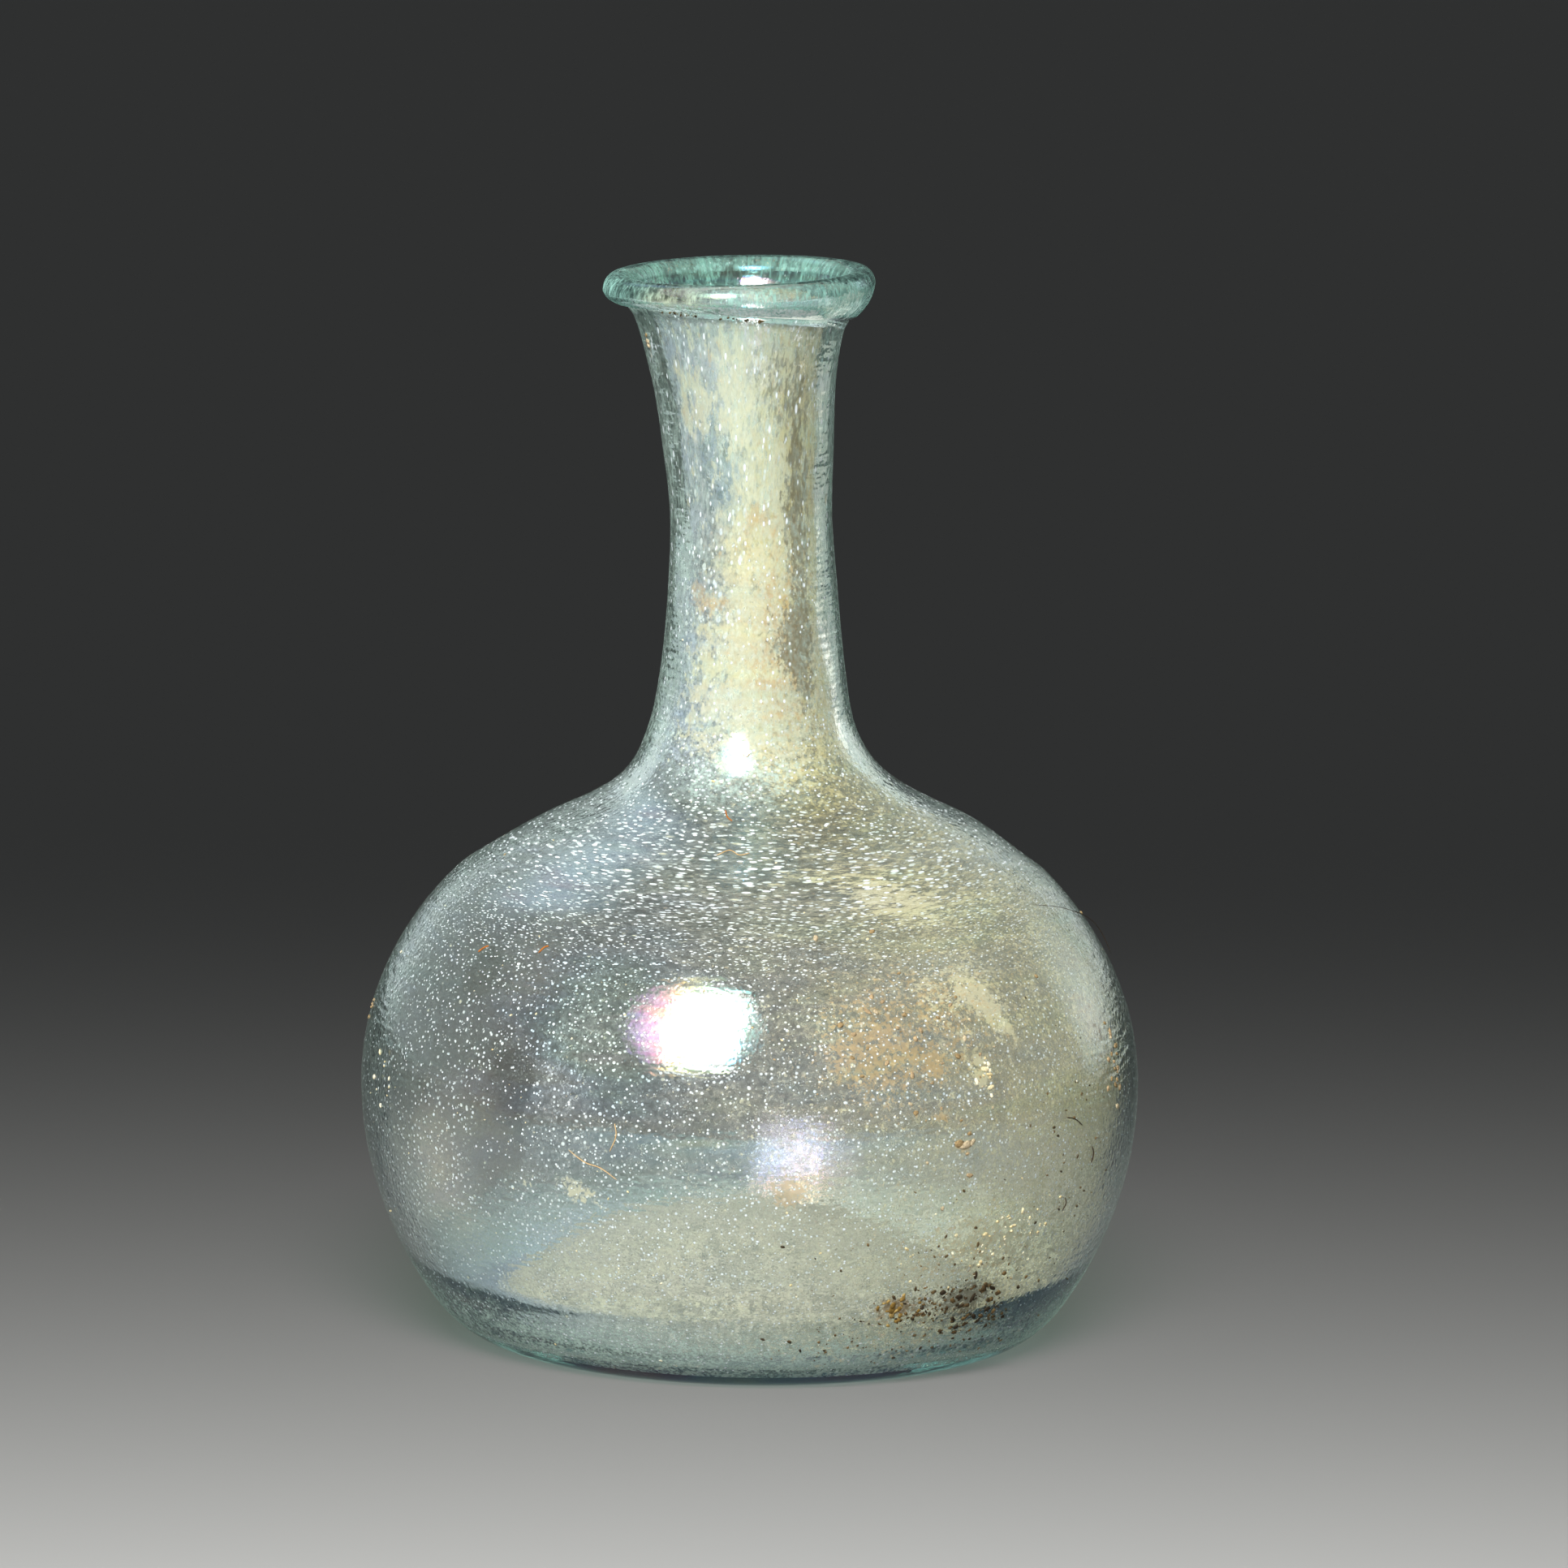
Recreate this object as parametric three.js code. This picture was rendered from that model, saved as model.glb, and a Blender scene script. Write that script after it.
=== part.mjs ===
// A Roman free-blown glass unguentarium: one piece of glass with a squat globular body, a deep
// pushed-in base, a long slender neck that leans a little to one side, and a rim folded into a roll.
// Millimetres, +Z up. The origin is the centre of the base ring, on the surface it stands on.
// +X is the viewer's right and -Y faces the viewer.
import * as THREE from "three";

// Driving dimensions.
const HEIGHT = 98.3; // crest of the rim roll
const BELLY_RADIUS = 35.9;
const BELLY_HEIGHT = 23.1; // level of the widest ring
const NECK_RADIUS = 7.5; // at the waist of the neck
const RIM_RADIUS = 12.44;

// Body: a quarter ellipse below the widest ring and part of one above it.
const LOWER_RISE = 34.6; // vertical half axis of the lower ellipse, which the base cuts off
const UPPER_RISE = 29.9; // vertical half axis of the upper ellipse
const SHOULDER_ANGLE = 0.71; // radians above the widest ring, where the shoulder starts to hollow
const HEEL_ANGLE = -0.64; // radians below it, where the heel turns under

// Base: a narrow worn ring that the vessel stands on, and the dome pushed up inside it.
const RING_OUTER = 25.3;
const RING_INNER = 24.2;
const DOME_UNDERSIDE = 8.6; // height of the dome's underside on the axis
const DOME_TOP = 10.8; // height of the floor inside, on the axis
const TROUGH_RADIUS = 24.9; // the groove round the dome, inside
const TROUGH_HEIGHT = 2.7;
const DOME_FOOT_RADIUS = 22.4; // where the dome leaves the groove
const DOME_FOOT_HEIGHT = 3.8;

// Walls.
const BODY_WALL = 1.5;
const NECK_WALL = 1.75;

// Rim roll: its crest, how far it reaches out and in from there, and the hanging part under it.
const ROLL_OUT = 1.22;
const ROLL_IN = 1.75;
const ROLL_RISE = 1.57; // from its widest level up to the crest
const ROLL_HANG = 2.5; // from its widest level down to the crease, on average
const CREST_RADIUS = RIM_RADIUS - ROLL_OUT;
const ROLL_HEIGHT = HEIGHT - ROLL_RISE; // its widest level
const CREASE_RADIUS = 10.15;

// How the hand-made vessel departs from a true turning.
const FOOT_SHIFT = 0.3; // the foot stands a little to the right of the belly
const DOME_SHIFT = -1; // the dome was pushed in a little to the left
const SHOULDER_SHIFT = 0.65; // the shoulder stands fuller on the right
const SHOULDER_HEIGHT = 48;
const SHOULDER_SPREAD = 3.6;
const NECK_SHIFT = -0.3; // the neck rises a little to the left
const NECK_LEAN = -1.82; // and leans further left, as far as this at the rim
const LEAN_SPAN = [60, 94]; // heights over which it leans
const RIM_LIFT = 0.47; // the rim stands higher on the right, and lower on the left, by this
const ROLL_SWELL = 0.55; // share by which the roll hangs lower on its heavy side
const HEAVY_SIDE = THREE.MathUtils.degToRad(50); // to the right and the back
const RIM_BLEND = [89, 94]; // heights over which the neck takes up the rim's lift and swell

const TURN_STEPS = 48;

const point = (radius, height) => new THREE.Vector2(radius, height);

// The outer shoulder and neck: radius at chosen heights, from the shoulder up to the rim's crease.
const NECK_STATIONS = [
  point(20.6, 47.0),
  point(16.6, 49.0),
  point(13.5, 50.8),
  point(11.2, 53.0),
  point(9.5, 56.5),
  point(8.5, 62.0),
  point(7.85, 69.0),
  point(NECK_RADIUS, 76.0),
  point(7.9, 82.0),
  point(8.45, 88.0),
  point(9.3, 92.2),
  point(9.75, 93.6),
  point(CREASE_RADIUS, ROLL_HEIGHT - ROLL_HANG),
];

// Points on an ellipse from one angle to another. Angle 0 is outward and a quarter turn is up.
function ellipse(centre, halfWidth, halfHeight, from, to, steps) {
  return Array.from({ length: steps + 1 }, (_, i) => {
    const angle = from + ((to - from) * i) / steps;
    return point(centre.x + halfWidth * Math.cos(angle), centre.y + halfHeight * Math.sin(angle));
  });
}

// A smooth curve through the given points.
function smooth(points, stepsEach) {
  const curve = new THREE.CatmullRomCurve3(
    points.map((p) => new THREE.Vector3(p.x, p.y, 0)),
    false,
    "centripetal",
  );
  return curve.getPoints((points.length - 1) * stepsEach).map((p) => point(p.x, p.y));
}

// A dome's section from the axis at its top down to its foot: an arc of a circle.
function dome(top, footRadius, footHeight, steps) {
  const rise = top - footHeight;
  const radius = (footRadius ** 2 + rise ** 2) / (2 * rise);
  const reach = Math.asin(footRadius / radius);
  return Array.from({ length: steps + 1 }, (_, i) => {
    const angle = (reach * i) / steps;
    return point(radius * Math.sin(angle), top - radius * (1 - Math.cos(angle)));
  });
}

// The points of a line moved inward, to its left as it climbs, by the wall at each point's height.
function offsetInward(line, wallAt) {
  return line.map((p, i) => {
    const before = line[Math.max(i - 1, 0)];
    const after = line[Math.min(i + 1, line.length - 1)];
    const along = after.clone().sub(before).normalize();
    const wall = wallAt(p.y);
    return point(p.x - along.y * wall, p.y + along.x * wall);
  });
}

// The body wall passes into the thicker neck wall along the shoulder.
function wallAt(height) {
  return THREE.MathUtils.lerp(
    BODY_WALL,
    NECK_WALL,
    THREE.MathUtils.smoothstep(height, SHOULDER_HEIGHT - 4, SHOULDER_HEIGHT + 12),
  );
}

// The outer wall from the heel up to the crease under the roll.
function outerWall() {
  const centre = point(0, BELLY_HEIGHT);
  const lower = ellipse(centre, BELLY_RADIUS, LOWER_RISE, HEEL_ANGLE, 0, 9);
  const upper = ellipse(centre, BELLY_RADIUS, UPPER_RISE, 0, SHOULDER_ANGLE, 8);
  const neck = smooth([upper.at(-1), ...NECK_STATIONS], 2);
  return { lower, upper, neck };
}

// The whole section, from the dome's underside on the axis, out and up the outside, over the rim,
// and down the inside to the floor on the axis.
function section() {
  const { lower, upper, neck } = outerWall();
  const underside = dome(DOME_UNDERSIDE, RING_INNER, 0, 6);
  const heelTurn = point(RING_OUTER + 1.2, 0.55);
  const heel = smooth([point(RING_OUTER, 0), heelTurn, lower[0]], 2);
  const hang = smooth(
    [
      point(CREASE_RADIUS, ROLL_HEIGHT - ROLL_HANG),
      point(RIM_RADIUS - 1.4, ROLL_HEIGHT - ROLL_HANG * 0.8),
      point(RIM_RADIUS - 0.4, ROLL_HEIGHT - ROLL_HANG * 0.4),
      point(RIM_RADIUS, ROLL_HEIGHT),
    ],
    2,
  );
  const crest = point(CREST_RADIUS, ROLL_HEIGHT);
  const roll = [
    ...hang.slice(1, -1),
    ...ellipse(crest, ROLL_OUT, ROLL_RISE, 0, Math.PI / 2, 4),
    ...ellipse(crest, ROLL_IN, ROLL_RISE, Math.PI / 2, Math.PI, 4).slice(1),
  ];
  const outside = [...lower, ...upper.slice(1), ...neck.slice(1)];
  const inside = offsetInward(outside, wallAt)
    .slice(2, -3)
    .filter((_, i) => i % 2 === 0)
    .reverse();
  const groove = smooth(
    [
      inside.at(-1),
      point(TROUGH_RADIUS + 1.6, TROUGH_HEIGHT + 0.5),
      point(TROUGH_RADIUS, TROUGH_HEIGHT),
      point(DOME_FOOT_RADIUS, DOME_FOOT_HEIGHT),
    ],
    2,
  );
  const floor = dome(DOME_TOP, DOME_FOOT_RADIUS, DOME_FOOT_HEIGHT, 6).reverse();
  return [
    ...underside,
    ...heel,
    ...outside.slice(1),
    ...roll,
    ...inside,
    ...groove.slice(1),
    ...floor.slice(1),
  ];
}

// Moves a turned point to where it stands on the hand-made vessel.
function handMade(p) {
  const { clamp, smoothstep } = THREE.MathUtils;
  const bearing = Math.atan2(p.y, p.x);
  const radius = Math.hypot(p.x, p.y);
  const height = p.z;
  const foot = clamp(1 - height / BELLY_HEIGHT, 0, 1) ** 2;
  const inDome = height < BELLY_HEIGHT ? clamp(1 - (radius / RING_INNER) ** 2, 0, 1) : 0;
  const shoulder = Math.exp(-(((height - SHOULDER_HEIGHT) / SHOULDER_SPREAD) ** 2));
  const neck = smoothstep(height, SHOULDER_HEIGHT + 3, SHOULDER_HEIGHT + 9);
  const lean = clamp((height - LEAN_SPAN[0]) / (LEAN_SPAN[1] - LEAN_SPAN[0]), 0, 1) ** 2;
  p.x += FOOT_SHIFT * foot + DOME_SHIFT * inDome + SHOULDER_SHIFT * shoulder;
  p.x += NECK_SHIFT * neck + NECK_LEAN * lean;
  const hang = clamp(height - ROLL_HEIGHT, -ROLL_HANG, 0);
  const rise = RIM_LIFT * Math.cos(bearing) * (radius / RIM_RADIUS);
  const swell = ROLL_SWELL * Math.cos(bearing - HEAVY_SIDE) * hang;
  p.z += smoothstep(height, ...RIM_BLEND) * (rise + swell);
  return p;
}

function vessel() {
  const geometry = new THREE.LatheGeometry(section(), TURN_STEPS);
  geometry.rotateX(Math.PI / 2);
  const places = geometry.getAttribute("position");
  const place = new THREE.Vector3();
  for (let i = 0; i < places.count; i++) {
    handMade(place.fromBufferAttribute(places, i));
    places.setXYZ(i, place.x, place.y, place.z);
  }
  geometry.computeVertexNormals();
  return geometry;
}

const blueGreenGlass = new THREE.MeshStandardMaterial({
  color: 0xb9cfc4,
  roughness: 0.25,
  metalness: 0,
  transparent: true,
  opacity: 0.55,
});

const flask = new THREE.Mesh(vessel(), blueGreenGlass);
flask.name = "flask";

const unguentarium = new THREE.Group();
unguentarium.add(flask);

export default unguentarium;
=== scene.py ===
"""A Roman free-blown glass unguentarium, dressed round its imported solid.

The vessel is one piece of blue-green soda-lime glass. Over it lie a thin milky weathering crust,
outside and inside, grains of burial earth and a few dry rootlets. Sizes are worked in millimetres
and turned to metres as each mesh is made. +Z is up, +X is the viewer's right and -Y faces the viewer.
"""

from __future__ import annotations

import logging
import math
from dataclasses import dataclass, field
from enum import Enum
from functools import partial
from typing import Any

import bpy
import numpy as np
from mathutils import Matrix


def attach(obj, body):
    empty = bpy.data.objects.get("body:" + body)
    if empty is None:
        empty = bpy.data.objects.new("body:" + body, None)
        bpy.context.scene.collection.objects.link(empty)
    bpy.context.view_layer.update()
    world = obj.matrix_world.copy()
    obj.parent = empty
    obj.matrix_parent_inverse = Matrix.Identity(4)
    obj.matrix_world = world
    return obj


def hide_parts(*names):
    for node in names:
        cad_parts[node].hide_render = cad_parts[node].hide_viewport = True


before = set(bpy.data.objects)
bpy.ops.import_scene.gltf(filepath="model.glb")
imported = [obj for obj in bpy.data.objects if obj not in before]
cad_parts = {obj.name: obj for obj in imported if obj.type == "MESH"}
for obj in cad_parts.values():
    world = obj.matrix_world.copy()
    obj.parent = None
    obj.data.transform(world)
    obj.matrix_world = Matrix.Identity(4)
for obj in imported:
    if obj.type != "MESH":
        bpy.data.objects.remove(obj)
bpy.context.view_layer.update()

LOG = logging.getLogger("unguentarium")
MM = 0.001
BODY = "root"

TURN_STEPS = 240  # columns round the axis, shared by the glass and the crusts that hug it
GLASS_INSET = 0.13  # mm that the outer wall stands inside the solid, to leave room for the crust
INSET_SPAN = (0.3, 3.0)  # heights in mm over which it draws in from the base ring
RIM_INSET = 0.04  # mm that the rim roll stands inside the solid
CRUST_GAP = 0.02  # mm between the glass and the crust's hidden face
CRUST_THICKNESS = 0.03  # mm


# --- Small tools ---


def linear(hex_colour: str) -> tuple[float, float, float, float]:
    """Turns an sRGB hex colour into linear RGBA.

    Args:
        hex_colour: Six hex digits, with or without a leading hash.

    Returns:
        Linear red, green, blue and an alpha of one.
    """
    digits = hex_colour.lstrip("#")
    channels = [int(digits[i : i + 2], 16) / 255 for i in (0, 2, 4)]
    red, green, blue = (c / 12.92 if c <= 0.04045 else ((c + 0.055) / 1.055) ** 2.4 for c in channels)
    return (red, green, blue, 1.0)


def smoothstep(value: np.ndarray | float, low: float, high: float) -> np.ndarray:
    """Eases from 0 at low to 1 at high, as 3t squared minus 2t cubed."""
    t = np.clip((np.asarray(value, float) - low) / (high - low), 0.0, 1.0)
    return t * t * (3 - 2 * t)


def bearings() -> np.ndarray:
    """Angles of the columns round the axis, in radians, as one row."""
    return np.linspace(-math.pi, math.pi, TURN_STEPS, endpoint=False)[None, :]


def ellipse(
    centre: tuple[float, float], wide: float, tall: float, start: float, stop: float, steps: int
) -> np.ndarray:
    """Points on an ellipse: centre plus (wide cos a, tall sin a) as the angle a runs from start to stop.

    Args:
        centre: Radius and height of the centre.
        wide: Half width.
        tall: Half height.
        start: First angle, in radians, with 0 outward and a quarter turn up.
        stop: Last angle.
        steps: Number of spans.

    Returns:
        An array of (radius, height) rows.
    """
    angle = np.linspace(start, stop, steps + 1)
    return np.column_stack((centre[0] + wide * np.cos(angle), centre[1] + tall * np.sin(angle)))


def catmull_rom(stations: np.ndarray, steps: int) -> np.ndarray:
    """Centripetal Catmull-Rom curve through the stations, by nested linear blends of its knots.

    The knots are spaced by the square root of the distance between neighbours, and each end is
    continued by mirroring its second station, so the curve leaves the ends straight.

    Args:
        stations: Rows of (radius, height) that the curve passes through.
        steps: Points on each span.

    Returns:
        The curve's points, from the first station to the last.
    """
    p = np.vstack((2 * stations[0] - stations[1], stations, 2 * stations[-1] - stations[-2]))
    knots = np.sqrt(np.linalg.norm(np.diff(p, axis=0), axis=1))
    spans = []
    for i in range(1, len(p) - 2):
        a, b, c, d = p[i - 1 : i + 3]
        t0, t1, t2, t3 = np.concatenate(([0.0], np.cumsum(knots[i - 1 : i + 2])))
        t = np.linspace(t1, t2, steps, endpoint=False)[:, None]
        ab = ((t1 - t) * a + (t - t0) * b) / (t1 - t0)
        bc = ((t2 - t) * b + (t - t1) * c) / (t2 - t1)
        cd = ((t3 - t) * c + (t - t2) * d) / (t3 - t2)
        abc = ((t2 - t) * ab + (t - t0) * bc) / (t2 - t0)
        bcd = ((t3 - t) * bc + (t - t1) * cd) / (t3 - t1)
        spans.append(((t2 - t) * abc + (t - t1) * bcd) / (t2 - t1))
    return np.vstack((*spans, stations[-1]))


def travelled(line: np.ndarray) -> np.ndarray:
    """Distance along a line at each of its points: the running sum of its spans' lengths."""
    return np.concatenate(([0.0], np.cumsum(np.linalg.norm(np.diff(line, axis=0), axis=1))))


def evenly(line: np.ndarray, spacing: float) -> np.ndarray:
    """The line again, with its points spaced evenly along it.

    Args:
        line: Rows of (radius, height).
        spacing: About how far apart the points stand, in mm.

    Returns:
        The new rows, from the same first place to the same last one.
    """
    run = travelled(line)
    count = max(int(round(run[-1] / spacing)), 2)
    at = np.linspace(0.0, run[-1], count + 1)
    return np.column_stack([np.interp(at, run, line[:, k]) for k in range(line.shape[1])])


def shifted(line: np.ndarray, distance: np.ndarray | float) -> np.ndarray:
    """The line moved along its right-hand normal, which points outward where the line climbs.

    Args:
        line: Rows of (radius, height).
        distance: How far to move, one value or one for each row; negative moves inward.

    Returns:
        The moved rows.
    """
    along = np.gradient(line, axis=0)
    along /= np.linalg.norm(along, axis=1, keepdims=True)
    normal = np.column_stack((along[:, 1], -along[:, 0]))
    return line + normal * np.broadcast_to(distance, (len(line),))[:, None]


def waves(bearing: np.ndarray, height: np.ndarray, seed: int, count: int = 9) -> np.ndarray:
    """A smooth closed ripple about -1 to 1: a sum of sines of whole turns round and slow waves up.

    Args:
        bearing: Angle round the axis, in radians.
        height: Distance up the vessel, in mm.
        seed: Seed of the phases.
        count: Number of sines.

    Returns:
        The ripple at each place.
    """
    rng = np.random.default_rng(seed)
    total = np.zeros(np.broadcast(bearing, height).shape)
    for _ in range(count):
        turns = rng.integers(1, 7)
        pitch = rng.uniform(9.0, 34.0)
        phase, lift = rng.uniform(0, 2 * math.pi, 2)
        total += np.sin(turns * bearing + phase) * np.sin(2 * math.pi * height / pitch + lift)
    return total / math.sqrt(count)


def add_node(
    tree: bpy.types.NodeTree,
    kind: str,
    links: dict[str | int, Any] | None = None,
    output: str | int = 0,
    **settings: Any,
) -> bpy.types.NodeSocket:
    """Adds one node with its settings and links.

    Args:
        tree: Node tree that takes the node.
        kind: Node type without its ShaderNode prefix.
        links: Input name or index to a socket, which is linked, or to a plain value.
        output: Name or index of the output to hand back.
        **settings: Attributes of the node.

    Returns:
        The chosen output socket.
    """
    node = tree.nodes.new("ShaderNode" + kind)
    for name, value in settings.items():
        setattr(node, name, value)
    for key, value in (links or {}).items():
        if isinstance(value, bpy.types.NodeSocket):
            tree.links.new(value, node.inputs[key])
        else:
            node.inputs[key].default_value = value
    return node.outputs[output] if node.outputs else None


def new_material(name: str) -> tuple[bpy.types.Material, bpy.types.NodeTree]:
    """An empty node material.

    Args:
        name: Name of the material.

    Returns:
        The material and its tree.
    """
    material = bpy.data.materials.new(name)
    material.use_nodes = True
    material.node_tree.nodes.clear()
    return material, material.node_tree


# --- Form of the vessel ---


@dataclass(frozen=True)
class VesselForm:
    """The vessel's driving sizes in mm, the same as its solid's, and the curves they give."""

    height: float = 98.3
    belly_radius: float = 35.9
    belly_height: float = 23.1
    rim_radius: float = 12.44
    lower_rise: float = 34.6
    upper_rise: float = 29.9
    shoulder_angle: float = 0.71
    heel_angle: float = -0.64
    ring_outer: float = 25.3
    ring_inner: float = 24.2
    dome_underside: float = 8.6
    dome_top: float = 10.8
    dome_foot: tuple[float, float] = (22.4, 3.8)
    trough: tuple[float, float] = (24.9, 2.7)
    body_wall: float = 1.5
    neck_wall: float = 1.75
    roll_out: float = 1.22
    roll_in: float = 1.75
    roll_rise: float = 1.57
    roll_hang: float = 2.5
    crease_radius: float = 10.15
    foot_shift: float = 0.3
    dome_shift: float = -1.0
    shoulder_shift: float = 0.65
    shoulder_height: float = 48.0
    shoulder_spread: float = 3.6
    neck_shift: float = -0.3
    neck_lean: float = -1.82
    lean_span: tuple[float, float] = (60.0, 94.0)
    rim_lift: float = 0.47
    roll_swell: float = 0.55
    heavy_side: float = math.radians(50)
    rim_blend: tuple[float, float] = (89.0, 94.0)
    heel_turn: tuple[float, float] = (1.2, 0.55)  # out and up from the base ring
    inside_span: tuple[float, float] = (6.6, 92.9)  # heights where the inner wall follows the outer
    spacing: float = 0.8  # between rows along the section
    neck_stations: tuple[tuple[float, float], ...] = (
        (20.6, 47.0), (16.6, 49.0), (13.5, 50.8), (11.2, 53.0),
        (9.5, 56.5), (8.5, 62.0), (7.85, 69.0), (7.5, 76.0),
        (7.9, 82.0), (8.45, 88.0), (9.3, 92.2), (9.75, 93.6),
    )

    @property
    def roll_height(self) -> float:
        """Level of the rim roll's widest ring."""
        return self.height - self.roll_rise

    @property
    def crease(self) -> tuple[float, float]:
        """Where the roll meets the neck."""
        return (self.crease_radius, self.roll_height - self.roll_hang)

    @property
    def crest(self) -> tuple[float, float]:
        """Centre of the rim roll's upper half."""
        return (self.rim_radius - self.roll_out, self.roll_height)

    def outside(self) -> np.ndarray:
        """The outer wall from the base ring to the crease.

        A short curve turns the heel, a quarter ellipse below the widest ring and part of one above
        it make the body, and a curve through the neck's stations makes the shoulder and the neck.

        Returns:
            Rows of (radius, height), climbing.
        """
        middle = (0.0, self.belly_height)
        lower = ellipse(middle, self.belly_radius, self.lower_rise, self.heel_angle, 0.0, 90)
        upper = ellipse(middle, self.belly_radius, self.upper_rise, 0.0, self.shoulder_angle, 80)
        ring, turn = (self.ring_outer, 0.0), (self.ring_outer + self.heel_turn[0], self.heel_turn[1])
        heel = catmull_rom(np.array([ring, turn, tuple(lower[0])]), 12)
        neck = catmull_rom(np.array([tuple(upper[-1]), *self.neck_stations, self.crease]), 16)
        return evenly(np.vstack((heel[:-1], lower[:-1], upper[:-1], neck)), self.spacing)

    def roll(self) -> np.ndarray:
        """The rim roll: a smooth hanging part and two quarter ellipses over the crest.

        Returns:
            Rows of (radius, height) from just past the crease, out, over and down the inner side.
        """
        low, high = self.roll_height - self.roll_hang * 0.8, self.roll_height - self.roll_hang * 0.4
        under = [self.crease, (self.rim_radius - 1.4, low), (self.rim_radius - 0.4, high)]
        hang = catmull_rom(np.array([*under, (self.rim_radius, self.roll_height)]), 8)
        quarter = math.pi / 2
        outer = ellipse(self.crest, self.roll_out, self.roll_rise, 0.0, quarter, 12)
        inner = ellipse(self.crest, self.roll_in, self.roll_rise, quarter, 2 * quarter, 12)
        return evenly(np.vstack((hang[:-1], outer[:-1], inner)), 0.3)[1:]

    def wall(self, height: np.ndarray) -> np.ndarray:
        """Thickness of the wall, which eases from the body's to the neck's along the shoulder."""
        share = smoothstep(height, self.shoulder_height - 4, self.shoulder_height + 12)
        return self.body_wall + (self.neck_wall - self.body_wall) * share

    def inset(self, line: np.ndarray) -> np.ndarray:
        """How far the outer wall of glass stands inside the solid at each row of the section."""
        return GLASS_INSET * smoothstep(line[:, 1], *INSET_SPAN)

    def inside(self) -> np.ndarray:
        """The inner wall from under the roll down to the trough and up the floor to the axis.

        The outer wall is moved inward by its thickness, a curve joins it to the roll above and to
        the trough round the floor, and the floor is an arc of a circle.

        Returns:
            Rows of (radius, height), running down.
        """
        outer = self.outside()
        line = shifted(outer, -self.wall(outer[:, 1]))
        low, high = self.inside_span
        line = line[(outer[:, 1] > low) & (outer[:, 1] < high)][::-1]
        bore = self.crest[0] - self.roll_in
        roll = [(bore + 0.12, self.roll_height + 0.7), (bore, self.roll_height)]
        # Of the curve from the roll to the wall, only the span between the two is kept.
        lip = catmull_rom(np.array([*roll, tuple(line[0]), tuple(line[6])]), 12)[12:24]
        bend = (self.trough[0] + 1.6, self.trough[1] + 0.5)
        trough = catmull_rom(np.array([tuple(line[-1]), bend, self.trough, self.dome_foot]), 10)
        floor = self.dome(self.dome_top, *self.dome_foot)[::-1]
        return evenly(np.vstack((lip, line, trough[1:-1], floor)), self.spacing * 0.95)[1:]

    def dome(self, top: float, foot: float, foot_height: float) -> np.ndarray:
        """A dome's section, as an arc of the circle through its top and its foot.

        Args:
            top: Height on the axis.
            foot: Radius of its foot.
            foot_height: Height of its foot.

        Returns:
            Rows of (radius, height) from the axis to the foot.
        """
        rise = top - foot_height
        radius = (foot**2 + rise**2) / (2 * rise)
        angle = np.linspace(0.0, math.asin(foot / radius), 30)
        return np.column_stack((radius * np.sin(angle), top - radius * (1 - np.cos(angle))))

    def underside(self) -> np.ndarray:
        """The pushed-in base from the axis to the inner edge of the base ring."""
        return evenly(self.dome(self.dome_underside, self.ring_inner, 0.0), self.spacing * 1.3)

    def hand_made(self, points: np.ndarray) -> np.ndarray:
        """Moves turned points to where they stand on the hand-made vessel.

        The foot and the shoulder stand a little to the right, the neck rises to the left and leans
        further left with the square of its height, and the roll is tilted and hangs lower on its
        heavy side.

        Args:
            points: Places on a true turning, in mm, with xyz last.

        Returns:
            The moved places.
        """
        x, y, z = (points[..., k] for k in range(3))
        bearing, radius = np.arctan2(y, x), np.hypot(x, y)
        foot = np.clip(1 - z / self.belly_height, 0, 1) ** 2
        in_dome = np.where(z < self.belly_height, np.clip(1 - (radius / self.ring_inner) ** 2, 0, 1), 0)
        shoulder = np.exp(-(((z - self.shoulder_height) / self.shoulder_spread) ** 2))
        neck = smoothstep(z, self.shoulder_height + 3, self.shoulder_height + 9)
        low, high = self.lean_span
        lean = np.clip((z - low) / (high - low), 0, 1) ** 2
        shift = self.foot_shift * foot + self.dome_shift * in_dome + self.shoulder_shift * shoulder
        shift = shift + self.neck_shift * neck + self.neck_lean * lean
        hang = np.clip(z - self.roll_height, -self.roll_hang, 0)
        rise = self.rim_lift * np.cos(bearing) * (radius / self.rim_radius)
        swell = self.roll_swell * np.cos(bearing - self.heavy_side) * hang
        lift = smoothstep(z, *self.rim_blend) * (rise + swell)
        return np.stack((x + shift, y, z + lift), axis=-1)

    def turn(self, section: np.ndarray, ripple: np.ndarray | float = 0.0) -> np.ndarray:
        """Carries a section round the axis, ripples its radius, and gives it the hand-made shape.

        Args:
            section: Rows of (radius, height).
            ripple: Most that the radius ripples at each row, in mm.

        Returns:
            A grid of places, rows along the section and columns round the axis.
        """
        bearing = bearings()
        depth = np.broadcast_to(ripple, (len(section),))[:, None]
        radius, height = section[:, :1], section[:, 1:]
        wavy = radius + depth * waves(bearing, height, seed=11) * np.clip(radius / 6, 0, 1)
        grid = np.broadcast_arrays(wavy * np.cos(bearing), wavy * np.sin(bearing), height)
        return self.hand_made(np.stack(grid, axis=-1))


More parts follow.
